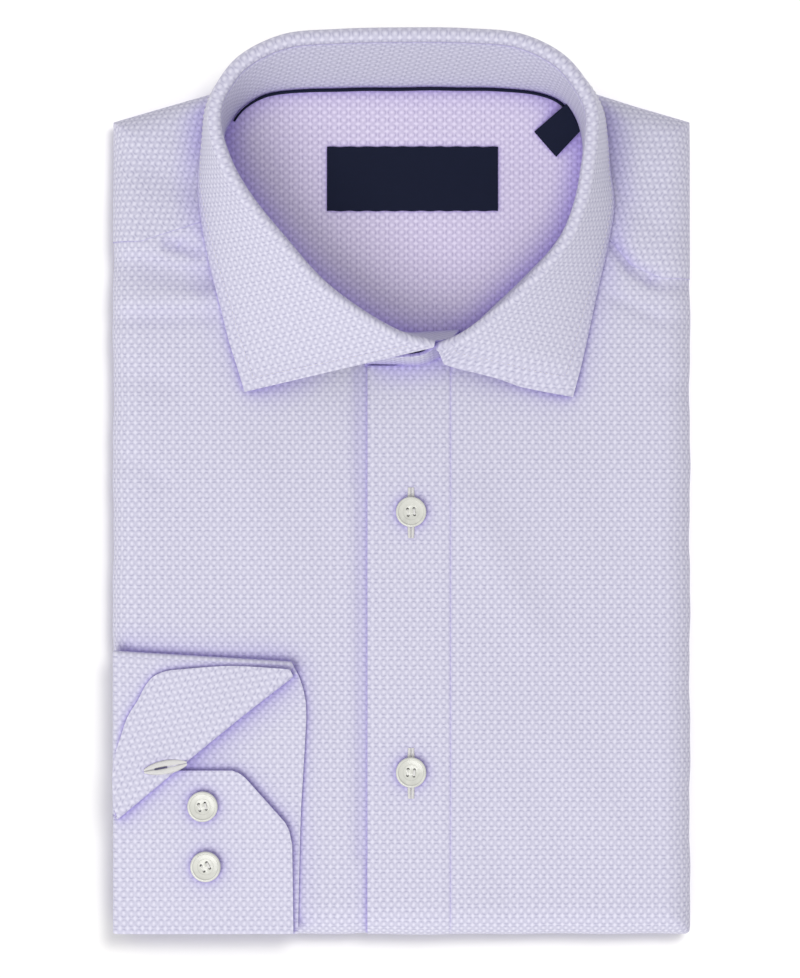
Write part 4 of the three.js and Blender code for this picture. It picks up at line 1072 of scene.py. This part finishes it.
class SHIRT_OT_labels(ShirtStep, bpy.types.Operator):
    """Make the two woven labels, which are bare"""
    bl_idname = "shirt.labels"
    bl_label = "Labels"

    # Corners from the lower left round, and how far each stands off the lining
    main = {"corners": [(-30.5, 112.4), (39.5, 112.4), (39.5, 138.6), (-30.5, 138.6)],
            "lift": (0, 0, 0, 0)}
    size = {"corners": [(54.2, 144.6), (63.2, 134.4), (73.2, 144.8), (67.4, 155.6)],
            "lift": (0.2, 0.2, 3.0, 4.4)}

    def label(self, name, spec, across, up, node):
        corners = np.column_stack([np.array(spec["corners"]), spec["lift"]])
        u, v = np.linspace(0, 1, across)[:, None, None], np.linspace(0, 1, up)[None, :, None]
        mixed = lerp(lerp(corners[0], corners[1], u), lerp(corners[3], corners[2], u), v)
        fray_u = np.sin(np.linspace(0, 60, across))[:, None] * 0.12
        mixed[..., 1] += fray_u * np.where((v[..., 0] < 0.01) | (v[..., 0] > 0.99), 1, 0)
        z = lining_top(mixed[..., 0], mixed[..., 1]) + SEAM_GAP + 0.5 + mixed[..., 2]
        points = with_height(mixed[..., :2], z)
        width = np.linalg.norm(corners[1, :2] - corners[0, :2])
        height = np.linalg.norm(corners[3, :2] - corners[0, :2])
        laid = np.concatenate(np.broadcast_arrays(u * width, v * height), axis=-1)
        piece = grid_piece(name, points, laid)
        thicken(piece, 0.55, -1, bevel=0.12)
        dress(piece, navy_weave(), "navy_cloth", node)

    def execute(self, context):
        self.label("label_main_cloth", self.main, 90, 34, "label_main")
        self.label("label_size_cloth", self.size, 24, 24, "label_size")
        return {"FINISHED"}


class SHIRT_OT_cuff(ShirtStep, bpy.types.Operator):
    """Make the cuff's lower layer with its button end, the turned back buttonhole end, and the sleeve"""
    bl_idname = "shirt.cuff"
    bl_label = "Cuff and sleeve"

    # Edges as y, x: the lower layer at the wrist, and the button end on top of it
    wrist = np.array([(-67.0, -45.4), (-68.4, -44.2), (-70.4, -43.0), (-73.4, -41.6), (-79.0, -39.9),
                      (-85.2, -38.9), (-93.4, -38.7), (-107.6, -39.4), (-119.4, -40.1), (-132.0, -40.9),
                      (-144.2, -41.3), (BOTTOM_EDGE, CUFF_WRIST)])
    button_end = np.array([(BOTTOM_EDGE, -43.9), (-146.0, -44.4), (-140.2, -45.6), (-137.0, -47.2),
                           (-119.0, -63.2), (-117.0, -65.6), (BOTTOM_EDGE + CUFF_END_LENGTH, -68.6)])
    # The turned back end as it lies: the free edge from the wrist round to the folded side
    turned_edge = np.array([(-45.2, -74.5), (-57.4, -73.7), (-70.4, -73.2), (-87.8, -74.4), (-95.9, -75.4),
                            (-100.8, -77.6), (-104.1, -81.6), (-106.9, -87.0), (-111.0, -93.6),
                            (-114.0, -102.1), (-116.0, -108.5), (-117.0, -114.5), (-117.2, -121.0),
                            (-117.0, -126.0), (-116.6, -130.5)])
    turn_from = np.array([-45.4, -74.9])
    turn_to = np.array([-117.0, -134.5])
    left_edge = -116.95
    left_roll = 2.7
    top_slant = 4.6
    turned_grain = math.radians(-18)
    small_face = 2.5

    @staticmethod
    def edge_at(table, y):
        order = np.argsort(table[:, 0])
        return np.interp(y, table[order, 0], table[order, 1])

    def slant(self, x, y):
        """The top fold lies lower towards the wrist"""
        return -self.top_slant * np.clip((x + HALF_WIDTH) / 76.4, 0, 1.1) * smooth(-108, -69, y)

    def left_drop(self, x):
        over = np.clip(self.left_edge + self.left_roll - x, 0, self.left_roll)
        return self.left_roll - np.sqrt(self.left_roll ** 2 - over ** 2)

    def execute(self, context):
        self.layers()
        self.turned_end()
        self.sleeve()
        return {"FINISHED"}

    def layers(self):
        line = [(CUFF_TOP - FLAP_ROLL - back, 2 * FLAP_ROLL - low, 0)
                for back, low in ((3.0, 0.9), (1.2, 0.6))]
        for turn in np.linspace(math.pi, 0, 13)[:-1]:
            y = CUFF_TOP - FLAP_ROLL * (1 - math.sin(turn))
            line.append((y, FLAP_ROLL * (1 - math.cos(turn)), 0))
        lower_from, lower_to = CUFF_TOP - FLAP_ROLL, BOTTOM_EDGE + 0.6 + BUTTON_END_ROLL
        for y in np.linspace(lower_from, lower_to, 70):
            line.append((y, 0, 0))
        for turn in np.linspace(0, math.pi, 10)[1:-1]:
            y = lower_to - BUTTON_END_ROLL * math.sin(turn)
            line.append((y, BUTTON_END_ROLL * (1 - math.cos(turn)), float(turn > math.pi / 2)))
        for y in np.linspace(lower_to, BOTTOM_EDGE + CUFF_END_LENGTH, 70):
            line.append((y, 2 * BUTTON_END_ROLL, 1))
        line = np.array(line)
        y, rise, on_end = line.T
        edge = np.where(on_end > 0, self.edge_at(self.button_end, y), self.edge_at(self.wrist, y))[:, None]
        turn = np.linspace(math.pi / 2, 0, 8)[:-1]
        rolled = self.left_edge + self.left_roll * (1 - np.sin(turn))
        across = np.linspace(0, 1, 64)[None, :]
        x = np.hstack([np.repeat(rolled[None], len(y), axis=0),
                       lerp(self.left_edge + self.left_roll, edge, across)])
        y = np.repeat(y[:, None], x.shape[1], axis=1)
        soft = 0.2 * np.sin(0.09 * x + 0.05 * y) + 0.12 * np.sin(0.21 * x - 0.13 * y)
        free = np.minimum(edge - x, BOTTOM_EDGE + CUFF_END_LENGTH - y)
        curl = 0.75 * np.exp(-(free / 7) ** 2) * smooth(BOTTOM_EDGE + 6, BOTTOM_EDGE + 40, y)
        lift = (soft + curl) * on_end[:, None] * smooth(self.left_edge, -104, x)
        z = CUFF_MIDDLE + rise[:, None] + lift - self.left_drop(x)
        points = np.stack([x, y + self.slant(x, y) * (1 - on_end[:, None]), z], axis=-1)
        run = along_length(np.column_stack([y[:, 0], rise]))
        laid = np.stack([x, np.repeat(-run[:, None], x.shape[1], axis=1)], axis=-1)
        cuff = grid_piece("cuff_cloth", points, laid)
        thicken(cuff, CUFF_WALL, 0, bevel=0.3)
        dress(cuff, collar_cloth(), "collar_cloth", "cuff")

    def turned_end(self):
        """Small faces of the flat end, cut by lines along the turn, then folded about it"""
        span = np.linalg.norm(self.turn_to - self.turn_from)
        along = (self.turn_to - self.turn_from) / span
        past = np.array([-along[1], along[0]])
        arc = math.pi * TURN_ROLL
        base = CUFF_MIDDLE + 2 * FLAP_ROLL
        top = CUFF_TOP - FLAP_ROLL
        outline = [tuple(self.turn_from), (-44.2, top), (self.left_edge, top), tuple(self.turn_to)]
        for point in spline(np.column_stack([self.turned_edge, np.zeros(len(self.turned_edge))]),
                            np.linspace(1, 0, 60))[:, :2]:
            beside = -(point - self.turn_from) @ past
            foot = point + past * beside
            outline.append(tuple(foot + past * (beside + arc)))
        mesh = bmesh.new()
        mesh.faces.new([mesh.verts.new((x, y, 0)) for x, y in outline])
        step = self.small_face
        cuts = [*np.arange(-66, 0, step), *np.linspace(0, arc, 10), *np.arange(arc + step, 70, step)]
        planes = [(self.turn_from + past * cut, past) for cut in cuts]
        planes += [(self.turn_from + along * cut, along) for cut in np.arange(step, span + 30, step)]
        planes += [(np.array([x, 0.0]), np.array([1.0, 0.0])) for x in (-116.7, -116.2, -115.5, -114.8)]
        for centre, way in planes:
            bmesh.ops.bisect_plane(mesh, geom=mesh.verts[:] + mesh.edges[:] + mesh.faces[:], dist=1e-6,
                                   plane_co=(*centre, 0), plane_no=(*way, 0))
        mesh.verts.ensure_lookup_table()
        flat = np.array([v.co[:2] for v in mesh.verts])
        faces = [[v.index for v in face.verts] for face in mesh.faces]
        mesh.free()
        d = (flat - self.turn_from) @ past
        foot = flat - past * d[:, None]
        level = np.where(d <= 0, d, np.where(d < arc, TURN_ROLL * np.sin(d / TURN_ROLL), arc - d))
        rise = np.where(d <= 0, 0, np.where(d < arc, TURN_ROLL * (1 - np.cos(d / TURN_ROLL)), 2 * TURN_ROLL))
        past_turn = d - arc
        settle = (2 * TURN_ROLL - CUFF_WALL - 0.1) * smooth(0, 17, past_turn)
        puff = 0.5 * smooth(3, 16, past_turn) * smooth(44, 22, past_turn)
        xy = foot + past * level[:, None]
        wave = 0.16 * np.sin(0.13 * xy[:, 0] + 0.08 * xy[:, 1]) * smooth(0, 10, past_turn)
        drop = np.where(d <= 0, self.left_drop(xy[:, 0]), 0)
        points = np.column_stack([xy[:, 0], xy[:, 1], base + rise - settle + puff + wave - drop])
        points[:, 1] += self.slant(xy[:, 0], xy[:, 1]) * smooth(6, -4, d)
        piece = mesh_piece("cuff_flap_cloth", points, faces, flat)
        sine, cosine = math.sin(self.turned_grain), math.cos(self.turned_grain)
        turned = flat @ np.array([[cosine, sine], [-sine, cosine]])
        uv = piece.data.uv_layers["cloth"].data
        for polygon in piece.data.polygons:
            if np.mean(d[list(polygon.vertices)]) > arc / 2:
                for loop in polygon.loop_indices:
                    uv[loop].uv = turned[piece.data.loops[loop].vertex_index]
        thicken(piece, CUFF_WALL, 0, bevel=0.3)
        dress(piece, collar_cloth(), "collar_cloth", "cuff_flap")

    def sleeve(self):
        wall = 2.0
        outer = -HALF_WIDTH + wall / 2
        section = np.array([(outer, 22.4, 0), (outer - 0.15, 19, 0), (outer + 0.1, 14, 0), (outer, 8, 0),
                            (outer + 0.6, 4.6, 0), (outer + 2.0, 2.4, 0)])
        section = spline(section, np.linspace(0, 1, 30))
        y, z = np.meshgrid(np.linspace(BOTTOM_EDGE + 1, CUFF_TOP - 1, 70), section[:, 1], indexing="ij")
        x = section[None, :, 0] + 0.2 * np.sin(0.2 * y + 0.5) * np.sin(np.linspace(0, 3, 30))[None, :]
        piece = grid_piece("sleeve_cloth", np.stack([x, y, z], axis=-1), np.stack([z, y], axis=-1))
        thicken(piece, 1.6, 0, bevel=0.3)
        dress(piece, shirt_cloth(), "shirt_cloth", "sleeve")


class SHIRT_OT_buttons(ShirtStep, bpy.types.Operator):
    """Model one four-hole button by hand, then lay a copy on each button's place"""
    bl_idname = "shirt.buttons"
    bl_label = "Buttons"

    radius = 6.2
    height = 2.4
    hole_radius = 0.55
    hole_offset = 1.3
    # Breadth and height of each step on the face, from the edge inwards: rim, its slope, dish, its slope
    face_steps = ((0.9, 0), (0.3, -0.4), (1.6, 0), (0.3, -0.2))
    back_rim = 1.2
    edge_round = 0.6
    hole_round = 0.14
    turns = {"front_button_upper": 0.1, "front_button_lower": -0.1,
             "cuff_button_outer": 0.2, "cuff_button_inner": 0.5}

    def execute(self, context):
        blank = self.model()
        for node, turn in self.turns.items():
            place = Vector(box_place(node))
            mesh = blank.data.copy()
            mesh.transform(Matrix.Translation(place) @ Matrix.Rotation(turn, 4, "Z"))
            button = bpy.data.objects.new(node + "_pearl", mesh)
            bpy.context.scene.collection.objects.link(button)
            dress(button, pearl(), "pearl_button", node)
            self.thread(node, place, turn)
        bpy.data.objects.remove(blank)
        return {"FINISHED"}

    def model(self):
        deselect()
        bpy.ops.mesh.primitive_cylinder_add(vertices=64, radius=self.radius * MM, depth=self.height * MM,
                                            location=(0, 0, self.height / 2 * MM))
        blank = bpy.context.object
        bpy.ops.object.transform_apply(location=True, rotation=True, scale=True)
        bpy.ops.object.mode_set(mode="EDIT")
        bpy.ops.mesh.select_mode(type="FACE")
        mesh = bmesh.from_edit_mesh(blank.data)

        def only(test):
            for face in mesh.faces:
                face.select_set(test(face))
            bmesh.update_edit_mesh(blank.data)

        only(lambda face: face.normal.z > 0.9)
        for breadth, rise in self.face_steps:
            bpy.ops.mesh.inset(thickness=breadth * MM, depth=rise * MM)
        mesh = bmesh.from_edit_mesh(blank.data)
        only(lambda face: face.normal.z < -0.9)
        bpy.ops.mesh.inset(thickness=self.back_rim * MM, depth=0)
        bpy.ops.mesh.select_all(action="DESELECT")
        bpy.ops.mesh.select_mode(type="EDGE")
        mesh = bmesh.from_edit_mesh(blank.data)
        for edge in mesh.edges:
            rim = all(abs(v.co.xy.length - self.radius * MM) < 1e-5 for v in edge.verts)
            level = abs(edge.verts[0].co.z - edge.verts[1].co.z) < 1e-6
            edge.select_set(rim and level)
        bmesh.update_edit_mesh(blank.data)
        bpy.ops.mesh.bevel(offset=self.edge_round * MM, segments=5, affect="EDGES")
        bpy.ops.object.mode_set(mode="OBJECT")
        drills = []
        for x, y in ((-1, -1), (1, -1), (1, 1), (-1, 1)):
            place = (x * self.hole_offset * MM, y * self.hole_offset * MM, 0)
            deselect()
            bpy.ops.mesh.primitive_cylinder_add(vertices=24, radius=self.hole_radius * MM, depth=0.01,
                                                location=place)
            drills.append(bpy.context.object)
        for drill in drills:
            make_active(blank)
            cut = blank.modifiers.new("hole", "BOOLEAN")
            cut.operation = "DIFFERENCE"
            cut.solver = "EXACT"
            cut.object = drill
            bpy.ops.object.modifier_apply(modifier="hole")
            bpy.data.objects.remove(drill)
        make_active(blank)
        round_edges(blank, self.hole_round, 30)
        bpy.ops.object.shade_smooth_by_angle(angle=math.radians(35))
        return blank

    def thread(self, node, place, turn):
        """Two pairs of strands between the holes, dipping into them"""
        strands = []
        for side, level in ((-1, self.height - 1.0), (1, self.height - 0.55)):
            level += place.z / MM
            for shift in (-0.22, 0.0, 0.22):
                x = side * self.hole_offset + shift
                out = self.hole_offset
                path = np.array([(x, -out - 0.1, -1.1), (x, -out + 0.2, 0.05), (x, 0, 0.25),
                                 (x, out - 0.2, 0.05), (x, out + 0.1, -1.1)])
                strands.append(path + np.array([0, 0, level]))
        turned = Matrix.Rotation(turn, 4, "Z")
        paths = []
        for path in strands:
            moved = [turned @ Vector(point) for point in path]
            paths.append(np.array([(p.x + place.x / MM, p.y + place.y / MM, p.z) for p in moved]))
        piece = tube_piece(node + "_thread", [spline(path, np.linspace(0, 1, 13)) for path in paths], 0.17, 8)
        dress(piece, cotton_thread(), "collar_cloth")


def tube_piece(name, paths, radius, sides, taper=False):
    """Joined thread tubes along paths, in millimetres, each closed at its ends"""
    points, faces = [], []
    for path in paths:
        tangent = unit(np.gradient(path, axis=0))
        helper = np.where(np.abs(tangent[:, 2:3]) > 0.9, np.array([[1.0, 0, 0]]), np.array([[0, 0, 1.0]]))
        side = unit(np.cross(tangent, helper))
        up = np.cross(side, tangent)
        angles = np.linspace(0, 2 * math.pi, sides, endpoint=False)
        size = np.full(len(path), radius)
        if taper:
            size[0] = size[-1] = radius * 0.45
        ring = (side[:, None] * np.cos(angles)[None, :, None] + up[:, None] * np.sin(angles)[None, :, None])
        ring = path[:, None] + ring * size[:, None, None]
        start = len(points)
        points.extend(ring.reshape(-1, 3))
        count = len(path)
        for i in range(count - 1):
            for j in range(sides):
                a, b = start + i * sides + j, start + i * sides + (j + 1) % sides
                faces.append((a, a + sides, b + sides, b))
        faces.append(tuple(start + j for j in range(sides)))
        faces.append(tuple(start + (count - 1) * sides + j for j in reversed(range(sides))))
    points = np.array(points)
    piece = mesh_piece(name, points, faces, points[:, :2])
    for polygon in piece.data.polygons:
        polygon.use_smooth = True
    return piece


def stitches_along(path, normals, pitch, radius):
    """Short stitch paths that dip into the cloth at both ends"""
    run = along_length(path)
    fill = 0.72
    rise = np.array([-1.2, 0.3, 0.6, 0.3, -1.2])[:, None] * radius
    made = []
    for k in range(int(run[-1] / pitch)):
        at = (k + (1 - fill) / 2) * pitch + np.linspace(0, fill * pitch, 5)
        made.append(resampled(at, run, path) + resampled(at, run, normals) * rise)
    return made


class SHIRT_OT_sewing(ShirtStep, bpy.types.Operator):
    """Sew the collar's top stitching and the buttonholes"""
    bl_idname = "shirt.sewing"
    bl_label = "Sewing"
    satin_radius = 0.15

    def execute(self, context):
        self.collar_rows()
        self.buttonholes()
        return {"FINISHED"}

    def sew(self, name, paths, slot="collar_cloth", radius=None):
        piece = tube_piece(name, paths, radius or self.sizes.thread_radius / MM, 6, taper=True)
        dress(piece, cotton_thread(), slot)

    def collar_rows(self):
        pitch = self.sizes.stitch_pitch / MM
        radius = self.sizes.thread_radius / MM
        inset = self.sizes.stitch_inset / MM
        t = np.linspace(0.5 / LAST_STATION, 1 - 0.5 / LAST_STATION, 520)
        points, crest_line = leaf_lines(t)
        normals = grid_normals(points)
        half = self.leaf_wall / 2
        steps = np.linalg.norm(np.diff(points, axis=1), axis=2)
        to_edge = np.concatenate([np.cumsum(steps[:, ::-1], axis=1)[:, ::-1], np.zeros((len(t), 1))], axis=1)

        def at_inset(row, amount):
            run = to_edge[row][::-1]
            return resampled(amount, run, points[row, ::-1]), resampled(amount, run, normals[row, ::-1])

        def sewn(places):
            path, normal = (np.array(part) for part in zip(*places))
            normal = unit(normal)
            return stitches_along(path + normal * half, normal, pitch, radius)

        rows = sewn([at_inset(row, inset) for row in range(len(t))])
        for row in (0, len(t) - 1):
            amounts = np.linspace(inset, to_edge[row, crest_line] - 2, 60)
            rows += sewn([at_inset(row, amount) for amount in amounts])
        self.sew("collar_leaf_stitches", rows)

    def buttonhole(self, centre, way, length, surface, half_width, taper, bars):
        """Satin strands on both sides of a slit, which is closed over the bars; shorter at the ends by
        the taper"""
        side = np.array([-way[1], way[0]])
        strands = []
        step = 0.24
        count = int(length / step)
        for k in range(count + 1):
            place = 2 * k / count - 1
            width = half_width * (1 - taper * abs(place) ** 2.2)
            at = centre + way * (place * length / 2)
            closed = k * step < bars[0] or (count - k) * step < bars[1]
            for hand in (-1, 1):
                inner = 0.0 if closed else 0.2
                profile = ((inner, 0.02), (width * 0.45, 0.22), (width, 0.0))
                line = []
                for out, rise in profile:
                    xy = at + side * hand * out
                    line.append((*xy, surface(*xy) + rise))
                strands.append(spline(np.array(line), np.linspace(0, 1, 5)))
        return strands

    def buttonholes(self):
        def placket_top(x, y):
            return float(front_height(np.float64(x), np.float64(y)) + PLACKET_RISE + 0.12)

        strands = []
        up = np.array([0.0, 1.0])
        for node in ("front_button_upper", "front_button_lower"):
            middle = np.array(box_place(node)[:2]) / MM + np.array([0, -0.4])
            strands += self.buttonhole(middle, up, 20.5, placket_top, 1.6, 0.15, (4.2, 4.2))
        self.sew("placket_buttonholes", strands, "shirt_cloth", self.satin_radius)
        flap_top = CUFF_MIDDLE + 2 * FLAP_ROLL + 2 * TURN_ROLL + CUFF_WALL / 2 - 0.1
        way = np.array([0.98, 0.19])
        centre = np.array([-95.7, -114.2])
        strands = self.buttonhole(centre, way, 17.5, lambda x, y: flap_top, 3.0, 0.7, (4.2, 7.9))
        self.sew("cuff_buttonhole", strands, "collar_cloth", self.satin_radius)
        # Painted shade: a dark tube along the slit stands in for the shade inside the cuff buttonhole
        slit = np.array([(*(centre + way * at), flap_top + 0.28) for at in np.linspace(-4.5, 0.8, 12)])
        painted_slit_shade = tube_piece("cuff_buttonhole_painted_shade", [slit], 0.28, 8, taper=True)
        dress(painted_slit_shade, painted_slit_shade_material(), "collar_cloth")


class SHIRT_OT_stage(ShirtStep, bpy.types.Operator):
    """Set the floor, the soft studio light and the camera straight above the shirt"""
    bl_idname = "shirt.stage"
    bl_label = "Stage"

    def soft_light(self, name, place, size, power, colour):
        light = bpy.data.lights.new(name, "AREA")
        light.shape = "SQUARE"
        light.size = size
        light.energy = power
        light.color = colour
        lamp = bpy.data.objects.new(name, light)
        lamp.location = place
        lamp.rotation_euler = (-Vector(place)).to_track_quat("-Z", "Y").to_euler()
        bpy.context.scene.collection.objects.link(lamp)
        return lamp

    def light_only(self, lamp, floor, state):
        """The light falls on the floor alone, or on all but the floor"""
        lit = bpy.data.collections.new(lamp.name + " receivers")
        lit.objects.link(floor)
        lamp.light_linking.receiver_collection = lit
        lit.collection_objects[0].light_linking.link_state = state

    def execute(self, context):
        scene = context.scene
        stage = scene.shirt_stage
        deselect()
        bpy.ops.mesh.primitive_plane_add(size=6.0, location=(0, 0, -0.0002))
        floor = context.object
        floor.name = "floor"
        material, _, principled = shader("Pale floor", 0.9, Specular_IOR_Level=0.1)
        principled.inputs["Base Color"].default_value = (*stage.floor, 1)
        floor.data.materials.append(material)
        world = bpy.data.worlds.new("Studio")
        world.use_nodes = True
        sky = world.node_tree.nodes["Background"]
        sky.inputs[0].default_value = (0.985, 0.965, 1.0, 1)
        sky.inputs[1].default_value = stage.sky
        scene.world = world
        key = self.soft_light("key", (-0.45, -0.80, 1.45), 1.1, stage.key_power, (1.0, 0.99, 0.99))
        self.light_only(key, floor, "EXCLUDE")
        under = self.soft_light("floor light", (0.55, 0.7, 2.7), 0.8, stage.floor_power, (1.0, 0.985, 0.965))
        self.light_only(under, floor, "INCLUDE")
        camera = bpy.data.cameras.new("camera")
        camera.sensor_width = 36.0
        camera.lens = camera.sensor_width * stage.camera_height / stage.seen_length
        camera.clip_end = 20
        eye = bpy.data.objects.new("camera", camera)
        eye.location = (-0.0006, -0.0014, (BODY_HEIGHT + 1) * MM + stage.camera_height)
        scene.collection.objects.link(eye)
        scene.camera = eye
        scene.view_settings.view_transform = "Standard"
        scene.view_settings.look = "None"
        return {"FINISHED"}


class SHIRT_PT_panel(bpy.types.Panel):
    """Lists the steps that make the shirt"""
    bl_label = "Folded shirt"
    bl_idname = "SHIRT_PT_panel"
    bl_space_type = "VIEW_3D"
    bl_region_type = "UI"
    bl_category = "Shirt"

    def draw(self, context):
        for step in STEPS:
            self.layout.operator(step.bl_idname)
        for group in (context.scene.shirt_sizes, context.scene.shirt_colours, context.scene.shirt_stage):
            for name in group.__annotations__:
                self.layout.prop(group, name)


STEPS = (SHIRT_OT_stage, SHIRT_OT_folded_layers, SHIRT_OT_fronts, SHIRT_OT_yoke, SHIRT_OT_collar,
         SHIRT_OT_labels, SHIRT_OT_cuff, SHIRT_OT_buttons, SHIRT_OT_sewing)
SETTINGS = (ShirtSizes, ShirtColours, ShirtStage)


def register():
    for item in (*SETTINGS, *STEPS, SHIRT_PT_panel):
        bpy.utils.register_class(item)
    bpy.types.Scene.shirt_sizes = PointerProperty(type=ShirtSizes)
    bpy.types.Scene.shirt_colours = PointerProperty(type=ShirtColours)
    bpy.types.Scene.shirt_stage = PointerProperty(type=ShirtStage)


def unregister():
    del bpy.types.Scene.shirt_stage
    del bpy.types.Scene.shirt_colours
    del bpy.types.Scene.shirt_sizes
    for item in reversed((*SETTINGS, *STEPS, SHIRT_PT_panel)):
        bpy.utils.unregister_class(item)


def main():
    register()
    for step in STEPS:
        group, name = step.bl_idname.split(".")
        getattr(getattr(bpy.ops, group), name)()
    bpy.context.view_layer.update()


if __name__ == "__main__":
    main()
